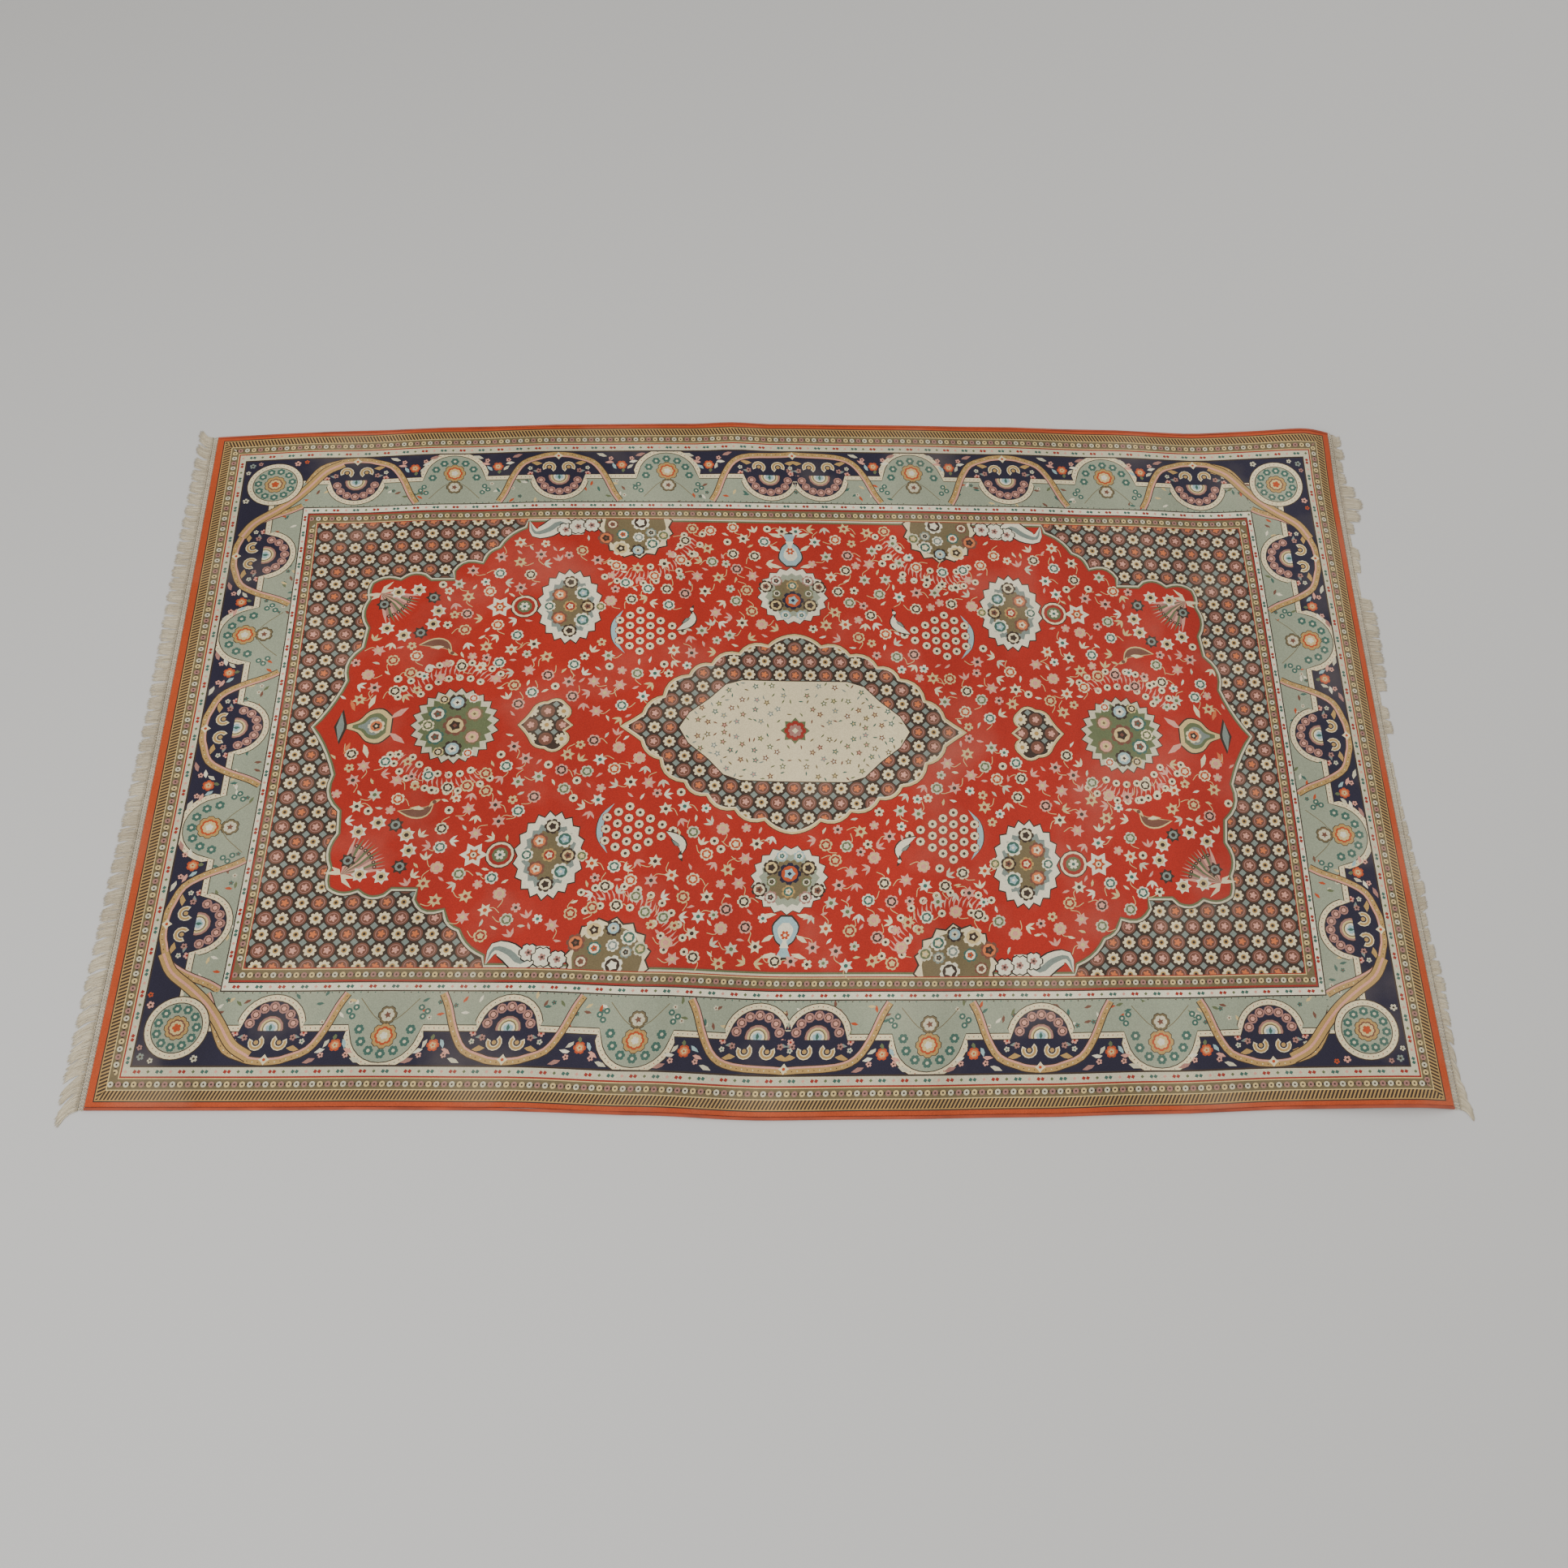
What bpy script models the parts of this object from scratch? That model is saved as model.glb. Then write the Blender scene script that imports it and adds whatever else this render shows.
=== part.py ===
"""A knotted silk persian rug lying flat, with its overcast long edges and a fringe at each end.

Units are metres and +Z is up. +X runs along the rug, the underside lies on z = 0, and the origin is
the middle of the underside. The woven body, the two overcast selvedges and the two fringes are
separate objects, 0.3 mm apart.
"""

import math

import bmesh
import bpy

# Driving sizes of the woven rug, before it is laid down.
RUG_LENGTH = 2.06
RUG_WIDTH = 1.28
PILE_THICKNESS = 0.005
GAP = 0.0003

# The overcast cord that closes each long edge.
SELVEDGE_DIAMETER = 0.005

# The fringe is one comb at each end: a knotted heading, then clumps of strands.
FRINGE_THICKNESS = 0.003
FRINGE_HEADING = 0.011
FRINGE_CLUMP_PITCH = 0.027
CLUMP_ROOT_SHARE = 0.94
CLUMP_TIP_SHARE = 0.72

# How the laid rug departs from a true rectangle.
INNER_SKEW = -0.011
END_NARROWING = -0.0055
CROSS_SHEAR = 0.0086
END_SPLAY = 0.0075
CENTRE_DRIFT = 0.041
EDGE_BOW_COLUMNS = ("x", "far edge out", "near edge out")
EDGE_BOW = (
    (-1.10, -0.004, 0.001),
    (-0.80, 0.012, 0.001),
    (-0.60, 0.022, 0.000),
    (-0.40, 0.029, 0.001),
    (-0.20, 0.031, 0.008),
    (0.00, 0.030, 0.016),
    (0.20, 0.027, 0.014),
    (0.40, 0.023, 0.011),
    (0.60, 0.016, 0.006),
    (0.80, 0.006, -0.001),
    (1.10, 0.000, -0.001),
)

# Where the laid rug leaves the floor: a low roll along the right end, a lifted corner, a ripple.
ROLL_HEIGHT_FAR = 0.014
ROLL_HEIGHT_NEAR = 0.009
ROLL_CREST = 0.060
ROLL_FOOT = 0.280
CORNER_RISE = 0.010
CORNER_LENGTH = 0.15
RIPPLE_HEIGHT = 0.005
RIPPLE_X = -0.085
RIPPLE_HALF_WIDTH = 0.075
RIPPLE_START_Y = 0.40

# The stretches of the body's mesh, finer where it bends.
STATION_COLUMNS = ("end x", "step")
STATION_RUNS = (
    (-0.205, 0.103),
    (0.035, 0.024),
    (0.735, 0.100),
    (0.955, 0.0275),
    (1.030, 0.0075),
)
ROW_COUNT = 14

FRINGE_COLUMNS = ("along the end", "length", "lean")
LEFT_FRINGE = (
    (-0.640, 0.041, -0.028),
    (-0.560, 0.043, -0.016),
    (-0.300, 0.042, -0.006),
    (0.000, 0.038, -0.002),
    (0.300, 0.042, 0.002),
    (0.540, 0.040, 0.006),
    (0.640, 0.040, 0.020),
)
RIGHT_FRINGE = (
    (-0.640, 0.030, -0.020),
    (-0.560, 0.020, -0.014),
    (-0.500, 0.024, -0.006),
    (-0.430, 0.028, 0.000),
    (-0.340, 0.020, 0.002),
    (-0.280, 0.028, 0.004),
    (-0.220, 0.021, 0.000),
    (-0.070, 0.016, 0.002),
    (-0.012, 0.013, 0.000),
    (0.040, 0.030, -0.002),
    (0.080, 0.016, 0.000),
    (0.120, 0.034, 0.000),
    (0.260, 0.037, -0.003),
    (0.310, 0.013, -0.002),
    (0.375, 0.028, -0.004),
    (0.405, 0.016, -0.003),
    (0.490, 0.048, -0.003),
    (0.560, 0.024, -0.002),
    (0.610, 0.032, 0.000),
    (0.640, 0.028, 0.006),
)

HALF_LENGTH = RUG_LENGTH / 2
HALF_WIDTH = RUG_WIDTH / 2


def ease(share):
    """Goes smoothly from 0 to 1 as share does."""
    share = min(max(share, 0.0), 1.0)
    return share * share * (3 - 2 * share)


def read_table(table, place):
    """The row of values at this place, eased between the table's rows."""
    if place <= table[0][0]:
        return table[0][1:]
    for row, after in zip(table, table[1:]):
        if place <= after[0]:
            share = ease((place - row[0]) / (after[0] - row[0]))
            return tuple(a + (b - a) * share for a, b in zip(row[1:], after[1:]))
    return table[-1][1:]


def laid(x, y):
    """Where a point of the true rectangle comes to lie, seen from above."""
    along = x / HALF_LENGTH
    across = y / HALF_WIDTH
    far_out, near_out = read_table(EDGE_BOW, x)
    inside_x = 1 - min(along * along, 1)
    inside_y = 1 - min(across * across, 1)
    moved_x = x + END_NARROWING * along * inside_y + CROSS_SHEAR * across * inside_x
    moved_x += END_SPLAY * along * across + CENTRE_DRIFT * inside_x * inside_y
    moved_y = y + far_out * (1 + across) / 2 - near_out * (1 - across) / 2
    moved_y += INNER_SKEW * along * inside_y
    return moved_x, moved_y


def rise(x, y):
    """Height of the rug's underside over the floor at this point of the true rectangle."""
    from_end = max(HALF_LENGTH - x, 0.0)
    crest = ROLL_HEIGHT_NEAR + (ROLL_HEIGHT_FAR - ROLL_HEIGHT_NEAR) * ease(y / RUG_WIDTH + 0.5)
    if from_end < ROLL_CREST:
        roll = crest * math.sin(math.pi / 2 * from_end / ROLL_CREST)
    else:
        roll = crest * (1 - ease((from_end - ROLL_CREST) / (ROLL_FOOT - ROLL_CREST)))
    toward_end = ease(1 - from_end / CORNER_LENGTH)
    toward_far = ease(1 - (HALF_WIDTH - y) / CORNER_LENGTH)
    corner = CORNER_RISE * toward_end * toward_far
    off_ripple = min(abs(x - RIPPLE_X) / RIPPLE_HALF_WIDTH, 1.0)
    toward_edge = ease((y - RIPPLE_START_Y) / (HALF_WIDTH - RIPPLE_START_Y))
    ripple = RIPPLE_HEIGHT * (1 - ease(off_ripple)) * toward_edge
    return roll + corner + ripple


def stations():
    """The x places of the body's mesh lines, from the left end to the right end."""
    places = [-HALF_LENGTH]
    for end, step in STATION_RUNS:
        start = places[-1]
        count = round((end - start) / step)
        places += [start + (end - start) * (i + 1) / count for i in range(count)]
    return places


def make_material(name, colour, roughness):
    """A plain cloth material with the piece's main colour."""
    material = bpy.data.materials.new(name)
    material.use_nodes = True
    shader = material.node_tree.nodes["Principled BSDF"]
    shader.inputs["Base Color"].default_value = (*colour, 1.0)
    shader.inputs["Roughness"].default_value = roughness
    shader.inputs["Metallic"].default_value = 0.0
    return material


def add_object(name, data, collection, material):
    """Puts new data in the rug's collection with its material."""
    piece = bpy.data.objects.new(name, data)
    data.materials.append(material)
    collection.objects.link(piece)
    return piece


def make_body(collection):
    """The woven ground and pile: a gridded sheet on the laid shape, made solid upwards."""
    places = stations()
    half_width = HALF_WIDTH - SELVEDGE_DIAMETER - GAP
    sheet = bmesh.new()
    bmesh.ops.create_grid(sheet, x_segments=len(places) - 1, y_segments=ROW_COUNT, size=1.0)
    for vertex in sheet.verts:
        column = round((vertex.co.x + 1) / 2 * (len(places) - 1))
        x = places[column]
        y = vertex.co.y * half_width
        vertex.co = (*laid(x, y), rise(x, y))
    top = bmesh.ops.extrude_face_region(sheet, geom=list(sheet.faces))["geom"]
    raised = [part for part in top if isinstance(part, bmesh.types.BMVert)]
    bmesh.ops.translate(sheet, verts=raised, vec=(0, 0, PILE_THICKNESS))
    bmesh.ops.recalc_face_normals(sheet, faces=sheet.faces)
    mesh = bpy.data.meshes.new("rug_body")
    sheet.to_mesh(mesh)
    sheet.free()
    return add_object("rug_body", mesh, collection, make_material("silk_pile", (0.30, 0.12, 0.07), 0.75))


def make_selvedge(name, side, collection):
    """The overcast cord along one long edge; side is 1 for the far edge and -1 for the near one."""
    radius = SELVEDGE_DIAMETER / 2
    places = stations()
    curve = bpy.data.curves.new(name, "CURVE")
    curve.dimensions = "3D"
    curve.twist_mode = "Z_UP"
    curve.bevel_depth = radius
    curve.bevel_resolution = 2
    curve.use_fill_caps = True
    spline = curve.splines.new("POLY")
    spline.points.add(len(places) - 1)
    for point, x in zip(spline.points, places):
        y = side * (HALF_WIDTH - radius)
        point.co = (*laid(x, y), rise(x, y) + radius, 1.0)
    return add_object(name, curve, collection, make_material(name + "_silk", (0.42, 0.13, 0.05), 0.7))


def comb_outline(end, table):
    """The fringe's outline: the root line along the rug's end, then each clump back along the tips."""
    root = HALF_LENGTH + GAP
    count = round(RUG_WIDTH / FRINGE_CLUMP_PITCH)
    pitch = RUG_WIDTH / count
    points = []
    for i in range(count + 1):
        points.append((end * root, -HALF_WIDTH + i * pitch))
    for i in reversed(range(count)):
        middle = -HALF_WIDTH + (i + 0.5) * pitch
        length, lean = read_table(table, middle)
        heading = min(FRINGE_HEADING, 0.8 * length)
        tip_half = CLUMP_TIP_SHARE * pitch / 2
        root_half = CLUMP_ROOT_SHARE * pitch / 2
        uneven = 0.0025 * math.sin(2.4 * i) if length > 0.02 else 0.0
        points.append((end * (root + heading), middle + root_half))
        points.append((end * (root + length + uneven), middle + lean + tip_half))
        points.append((end * (root + length - uneven), middle + lean - tip_half))
        points.append((end * (root + heading), middle - root_half))
    return points


def make_fringe(name, end, table, collection):
    """One comb; end is -1 for the left end and 1 for the right one."""
    outline = bpy.data.curves.new(name, "CURVE")
    outline.dimensions = "2D"
    outline.fill_mode = "BOTH"
    outline.extrude = FRINGE_THICKNESS / 2
    points = comb_outline(end, table)
    spline = outline.splines.new("POLY")
    spline.points.add(len(points) - 1)
    for point, (x, y) in zip(spline.points, points):
        point.co = (x, y, 0.0, 1.0)
    spline.use_cyclic_u = True
    flat = bpy.data.objects.new(name + "_outline", outline)
    collection.objects.link(flat)
    bpy.context.view_layer.update()
    graph = bpy.context.evaluated_depsgraph_get()
    mesh = bpy.data.meshes.new_from_object(flat.evaluated_get(graph))
    bpy.data.objects.remove(flat, do_unlink=True)

    comb = bmesh.new()
    comb.from_mesh(mesh)
    bmesh.ops.remove_doubles(comb, verts=comb.verts, dist=0.00001)
    for vertex in comb.verts:
        x, y, z = vertex.co
        past_end = max(abs(x) - HALF_LENGTH, 0.0)
        edge_x, edge_y = laid(end * HALF_LENGTH, min(max(y, -HALF_WIDTH), HALF_WIDTH))
        fall = 1 - ease(past_end / FRINGE_HEADING / 2)
        lifted = rise(end * HALF_LENGTH, y) * fall
        beyond = y - min(max(y, -HALF_WIDTH), HALF_WIDTH)
        vertex.co = (edge_x + end * past_end, edge_y + beyond, z + FRINGE_THICKNESS / 2 + lifted)
    bmesh.ops.recalc_face_normals(comb, faces=comb.faces)
    comb.to_mesh(mesh)
    comb.free()
    mesh.name = name
    return add_object(name, mesh, collection, make_material(name + "_silk", (0.55, 0.48, 0.36), 0.8))


def main():
    """Clears the scene and builds the rug's five pieces."""
    for leftover in list(bpy.data.objects):
        bpy.data.objects.remove(leftover, do_unlink=True)
    rug = bpy.data.collections.new("persian_rug")
    bpy.context.scene.collection.children.link(rug)
    make_body(rug)
    make_selvedge("selvedge_far", 1, rug)
    make_selvedge("selvedge_near", -1, rug)
    make_fringe("fringe_left", -1, LEFT_FRINGE, rug)
    make_fringe("fringe_right", 1, RIGHT_FRINGE, rug)


main()
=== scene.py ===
"""The looks of a silk Persian rug: a knotted pile with its figure, overcast edges and two fringes.

Distances are metres. A place on the rug is a complex number on its flat plan, as it came off the loom:
the real part runs along the rug and the imaginary part across it. laid() and rise() put it on the floor.
"""

import math
import random

import bpy
import numpy as np
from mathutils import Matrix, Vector
from mathutils.geometry import delaunay_2d_cdt


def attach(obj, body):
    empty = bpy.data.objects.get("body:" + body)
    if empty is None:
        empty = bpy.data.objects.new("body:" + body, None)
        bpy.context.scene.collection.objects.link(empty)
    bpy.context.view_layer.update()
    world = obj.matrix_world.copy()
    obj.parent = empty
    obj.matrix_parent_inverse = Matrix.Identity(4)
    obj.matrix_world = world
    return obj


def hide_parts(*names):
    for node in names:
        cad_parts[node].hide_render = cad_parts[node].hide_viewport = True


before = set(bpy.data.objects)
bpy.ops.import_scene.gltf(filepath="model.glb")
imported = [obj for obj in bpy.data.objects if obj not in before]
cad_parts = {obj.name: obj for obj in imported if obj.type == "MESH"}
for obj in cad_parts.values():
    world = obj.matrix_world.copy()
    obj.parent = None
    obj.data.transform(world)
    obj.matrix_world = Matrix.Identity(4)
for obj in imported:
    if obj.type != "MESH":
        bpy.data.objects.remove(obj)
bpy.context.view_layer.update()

# The rug as it came off the loom, as in the CAD model.
RUG_LENGTH = 2.06
RUG_WIDTH = 1.28
PILE_THICKNESS = 0.005
GAP = 0.0003
SELVEDGE_DIAMETER = 0.005
HALF_LENGTH = RUG_LENGTH / 2
HALF_WIDTH = RUG_WIDTH / 2
BODY_HALF_WIDTH = HALF_WIDTH - SELVEDGE_DIAMETER - GAP

# How the rug lies, as in the CAD model.
INNER_SKEW = -0.011
END_NARROWING = -0.0055
CROSS_SHEAR = 0.0086
END_SPLAY = 0.0075
CENTRE_DRIFT = 0.041
EDGE_BOW = (
    # ("x", "far edge out", "near edge out")
    (-1.10, -0.004, 0.001),
    (-0.80, 0.012, 0.001),
    (-0.60, 0.022, 0.000),
    (-0.40, 0.029, 0.001),
    (-0.20, 0.031, 0.008),
    (0.00, 0.030, 0.016),
    (0.20, 0.027, 0.014),
    (0.40, 0.023, 0.011),
    (0.60, 0.016, 0.006),
    (0.80, 0.006, -0.001),
    (1.10, 0.000, -0.001),
)
ROLL_HEIGHT_FAR = 0.014
ROLL_HEIGHT_NEAR = 0.009
ROLL_CREST = 0.060
ROLL_FOOT = 0.280
CORNER_RISE = 0.010
CORNER_LENGTH = 0.15
RIPPLE_HEIGHT = 0.005
RIPPLE_X = -0.085
RIPPLE_HALF_WIDTH = 0.075
RIPPLE_START_Y = 0.40


def ease(share):
    """A share from 0 to 1, made to start and end gently."""
    share = min(max(share, 0.0), 1.0)
    return share * share * (3 - 2 * share)


def read_table(table, place):
    """The values of a table's later columns at a place in its first one, eased from row to row."""
    place = min(max(place, table[0][0]), table[-1][0])
    for low, high in zip(table, table[1:]):
        if place <= high[0]:
            share = ease((place - low[0]) / (high[0] - low[0]))
            return [a + (b - a) * share for a, b in zip(low[1:], high[1:])]
    return list(table[-1][1:])


def laid(x, y):
    """Where a place on the plan lies on the floor."""
    along = x / HALF_LENGTH
    across = y / HALF_WIDTH
    far_out, near_out = read_table(EDGE_BOW, x)
    inside_x = 1 - min(along * along, 1)
    inside_y = 1 - min(across * across, 1)
    moved_x = x + END_NARROWING * along * inside_y + CROSS_SHEAR * across * inside_x
    moved_x += END_SPLAY * along * across + CENTRE_DRIFT * inside_x * inside_y
    moved_y = y + far_out * (1 + across) / 2 - near_out * (1 - across) / 2
    moved_y += INNER_SKEW * along * inside_y
    return moved_x, moved_y


def rise(x, y):
    """How high the underside stands over the floor."""
    from_end = max(HALF_LENGTH - x, 0)
    crest = ROLL_HEIGHT_NEAR + (ROLL_HEIGHT_FAR - ROLL_HEIGHT_NEAR) * ease(y / RUG_WIDTH + 0.5)
    if from_end < ROLL_CREST:
        roll = crest * math.sin(math.pi / 2 * from_end / ROLL_CREST)
    else:
        roll = crest * (1 - ease((from_end - ROLL_CREST) / (ROLL_FOOT - ROLL_CREST)))
    corner = CORNER_RISE * ease(1 - from_end / CORNER_LENGTH)
    corner *= ease(1 - (HALF_WIDTH - y) / CORNER_LENGTH)
    beside = 1 - ease(min(abs(x - RIPPLE_X) / RIPPLE_HALF_WIDTH, 1))
    ripple = RIPPLE_HEIGHT * beside * ease((y - RIPPLE_START_Y) / (HALF_WIDTH - RIPPLE_START_Y))
    return roll + corner + ripple


# The dyed silks, as screen colours from 0 to 255.
SILKS = {
    "rust": (178, 72, 32),
    "red": (168, 38, 22),
    "brick": (148, 44, 32),
    "cream": (224, 208, 166),
    "ivory": (226, 218, 190),
    "bone": (200, 192, 162),
    "straw": (206, 180, 122),
    "gold": (176, 140, 82),
    "orange": (204, 112, 66),
    "pink": (212, 150, 130),
    "rose": (160, 114, 102),
    "brown": (112, 72, 56),
    "umber": (58, 44, 34),
    "olive": (110, 96, 66),
    "moss": (96, 104, 70),
    "sage": (148, 154, 130),
    "mist": (122, 132, 122),
    "sky": (150, 178, 178),
    "teal": (62, 96, 84),
    "navy": (36, 32, 50),
    "black": (34, 28, 26),
}

# The straight lines of the design: each ground is a rectangle over the one before it.
GROUNDS = (
    # ("half length", "half width", "silk")
    (1.0300, 0.6347, "rust"),
    (1.0183, 0.6283, "umber"),
    (1.0165, 0.6265, "gold"),
    (1.0150, 0.6250, "ticks"),
    (1.0025, 0.6112, "straw"),
    (1.0010, 0.6097, "dots"),
    (0.9875, 0.5942, "straw"),
    (0.9860, 0.5926, "brick"),
    (0.9836, 0.5899, "bone"),
    (0.9732, 0.5764, "umber"),
    (0.9706, 0.5736, "navy"),
)
INNER_GROUNDS = (
    # ("half length", "half width", "silk")
    (0.8610, 0.4604, "umber"),
    (0.8591, 0.4583, "ivory"),
    (0.8512, 0.4468, "umber"),
    (0.8497, 0.4449, "brick"),
    (0.8470, 0.4420, "dots"),
    (0.8345, 0.4255, "straw"),
    (0.8330, 0.4238, "brick"),
    (0.8314, 0.4221, "umber"),
)
BORDER_X = 0.9150
BORDER_Y = 0.5165
BORDER_HALF = 0.0570
FIELD_X = 0.8314
FIELD_Y = 0.4221

# What stands along the main border, from its middle line. Kinds: shell, twin (two shells) and lobe.
LONG_SIDE = (
    # ("place along the side", "kind")
    (-0.772, "shell"),
    (-0.597, "lobe"),
    (-0.409, "shell"),
    (-0.212, "lobe"),
    (0.020, "twin"),
    (0.238, "lobe"),
    (0.411, "shell"),
    (0.597, "lobe"),
    (0.768, "shell"),
)
SHORT_SIDE = (
    # ("place along the side", "kind")
    (-0.350, "shell"),
    (-0.184, "lobe"),
    (0.000, "shell"),
    (0.186, "lobe"),
    (0.356, "shell"),
)
SHELL_RADIUS = 0.0480
LOBE_RADIUS = 0.0580
CORNER_RADIUS = 0.0480
TWIN_OFFSET = 0.0460

# Scalloped outlines of one quarter, from the long axis to the short one. The pendant's is its upper
# half. An arc swells outward from each cusp to the next by its bulge, a share of their distance.
FIELD_SCALLOPS = (
    # ("x", "y", "bulge")
    (0.7970, 0.0000, -0.04),
    (0.7520, 0.0900, 0.17),
    (0.7330, 0.1570, 0.00),
    (0.7290, 0.1960, 0.15),
    (0.7315, 0.2565, 0.10),
    (0.7285, 0.2930, 0.16),
    (0.6800, 0.2990, 0.18),
    (0.6360, 0.3065, 0.00),
    (0.6270, 0.2970, 0.00),
    (0.5890, 0.2970, 0.00),
    (0.5930, 0.3120, 0.24),
    (0.5420, 0.3315, 0.16),
    (0.5150, 0.3640, 0.10),
    (0.4700, 0.4060, 0.00),
    (0.4640, 0.4221, 0.00),
)
MEDALLION_SCALLOPS = (
    # ("x", "y", "bulge")
    (0.2920, 0.0000, -0.02),
    (0.2560, 0.0255, 0.16),
    (0.2230, 0.0588, 0.20),
    (0.1806, 0.0997, 0.20),
    (0.1427, 0.1224, 0.20),
    (0.0958, 0.1450, 0.20),
    (0.0458, 0.1618, 0.10),
    (0.0000, 0.1840, 0.00),
)
PENDANT_X = 0.413
PENDANT_SCALLOPS = (
    # ("x from its middle", "y", "bulge")
    (0.0480, 0.0000, -0.04),
    (0.0280, 0.0260, 0.18),
    (0.0030, 0.0430, 0.26),
    (-0.0270, 0.0390, 0.30),
    (-0.0270, 0.0110, 0.00),
    (-0.0400, 0.0000, 0.00),
)
CREAM_GROUND = (
    # ("x", "y"), the corners of the medallion's inner ground in one quarter
    (0.1950, 0.0000),
    (0.1790, 0.0280),
    (0.1450, 0.0560),
    (0.1180, 0.0840),
    (0.0900, 0.0930),
    (0.0000, 0.0930),
)
HEART_ROOM = 0.0240
LATTICE_PITCH = 0.0263

# Grounds whose small repeat their material draws. Guards: the middle lines of their stripes.
PATTERNED = {"ticks": "umber", "dots": "olive", "lattice": "umber"}
TICK_LINES = ((1.0087, 0.6181),)
DOT_LINES = ((0.9943, 0.6020), (0.8408, 0.4338))
GUARD_REACH = 0.0090
TICK_PITCH = 0.0058
DOT_PITCH = 0.0118


class Plan:
    """Coloured outlines on the rug's flat plan, each over the ones before it."""

    def __init__(self):
        self.outlines = []
        self.silks = []
        self.limits = []

    def add(self, outline, silk, within):
        self.outlines.append(outline)
        self.silks.append(silk)
        self.limits.append(within)
        return len(self.outlines) - 1


class Pen:
    """Draws on a plan from a place, at an angle and size. A mirrored pen draws the other way round."""

    def __init__(self, plan, place=0, turn=1, mirrored=False, within=None):
        self.plan = plan
        self.place = place
        self.turn = turn
        self.mirrored = mirrored
        self.within = within

    def on_plan(self, points):
        points = np.asarray(points, complex)
        return self.place + self.turn * (points.conj() if self.mirrored else points)

    def at(self, place, angle=0.0, size=1.0, mirrored=False):
        """A pen at a place of this pen's own."""
        turn = size * complex(math.cos(angle), math.sin(angle))
        turn = turn.conjugate() if self.mirrored else turn
        place = complex(self.on_plan(place))
        return Pen(self.plan, place, self.turn * turn, self.mirrored != mirrored, self.within)

    def inside(self, shape):
        """The same pen, but nothing shows outside the shape that fill() returned."""
        return Pen(self.plan, self.place, self.turn, self.mirrored, shape)

    def fill(self, outline, silk):
        return self.plan.add(self.on_plan(outline), silk, self.within)


def ring(radius, count=7, start=0.0):
    return radius * np.exp(1j * (start + math.tau * np.arange(count) / count))


def blossom(radius, petals=6, notch=0.62, start=0.0):
    """A flower's outline: two shoulders a petal, and a notch between petals."""
    step = math.tau / petals
    angles = start + step * (np.arange(petals)[:, None] + np.array([-0.5, -0.22, 0.22]))
    return (radius * np.array([notch, 1.0, 1.0]) * np.exp(1j * angles)).ravel()


def spikes(radius, count, notch=0.5, start=0.0):
    """A flower's outline with pointed petals."""
    angles = start + math.pi / count * np.arange(2 * count)
    return np.where(np.arange(2 * count) % 2, notch, 1.0) * radius * np.exp(1j * angles)


def leaf(length, width, bend=0.0):
    """A pointed leaf along +X from its stalk at 0. Its tip moves left by bend, a share of its length."""
    along = np.array([0, 0.46, 1.0, 0.66, 0.26])
    out = np.array([0, -0.46, 0, 0.42, 0.40])
    return length * along + 1j * (width * out + bend * length * along * along)


def sector(inner, outer, start, end, count=7):
    """A band of a ring between two angles."""
    angles = np.linspace(start, end, count)
    return np.concatenate([outer * np.exp(1j * angles), inner * np.exp(1j * angles[::-1])])


def smooth(points, steps=4):
    """A smooth line through points, with this many steps between two of them."""
    points = np.asarray(points, complex)
    padded = np.concatenate([[2 * points[0] - points[1]], points, [2 * points[-1] - points[-2]]])
    line = []
    for a, b, c, d in zip(padded, padded[1:], padded[2:], padded[3:]):
        for t in np.arange(steps) / steps:
            bent = (2 * a - 5 * b + 4 * c - d) * t * t + (3 * b - a - 3 * c + d) * t**3
            line.append(b + 0.5 * ((c - a) * t + bent))
    return np.array(line + [points[-1]])


def aside(line, distance):
    """The line moved to its left by a distance."""
    ahead = np.gradient(line)
    return line + 1j * ahead / np.abs(ahead) * distance


def band(line, width, centre=0.0):
    """The outline of a band along a line."""
    line = np.asarray(line, complex)
    return np.concatenate([aside(line, centre + width / 2), aside(line, centre - width / 2)[::-1]])


def tapered(line, width):
    """The outline of a stroke that is widest in its middle and pointed at both ends."""
    line = np.asarray(line, complex)
    half = width / 2 * np.sin(math.pi * np.linspace(0, 1, len(line)))
    ahead = np.gradient(line)
    side = 1j * ahead / np.abs(ahead) * half
    return np.concatenate([line + side, (line - side)[-2:0:-1]])


def steps_along(line, pitch):
    """Places and directions at an even pitch along a line."""
    line = np.asarray(line, complex)
    run = np.concatenate([[0], np.cumsum(np.abs(np.diff(line)))])
    count = max(round(run[-1] / pitch), 1)
    marks = (np.arange(count) + 0.5) * run[-1] / count
    places = np.interp(marks, run, line.real) + 1j * np.interp(marks, run, line.imag)
    ahead = np.gradient(places) if count > 1 else np.array([line[-1] - line[0]])
    return list(zip(places, np.angle(ahead)))


def scalloped(cusps, steps=5):
    """The line through cusps of (x, y, bulge)."""
    line = []
    for (x0, y0, bulge), (x1, y1, _) in zip(cusps, cusps[1:]):
        start = complex(x0, y0)
        chord = complex(x1, y1) - start
        count = steps if bulge else 1
        for t in np.arange(count) / count:
            line.append(start + chord * t - 1j * chord * bulge * 4 * t * (1 - t))
    line.append(complex(*cusps[-1][:2]))
    return np.array(line)


def all_round(quarter):
    """A closed outline from the line of one quarter, which starts on the long axis."""
    half = np.concatenate([quarter, -quarter.conj()[::-1]])
    whole = np.concatenate([half, half.conj()[::-1]])
    return whole[np.abs(whole - np.roll(whole, 1)) > 1e-6]


def rectangle(half_length, half_width):
    corner = complex(half_length, half_width)
    return np.array([-corner, corner.conjugate(), corner, -corner.conjugate()])


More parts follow.
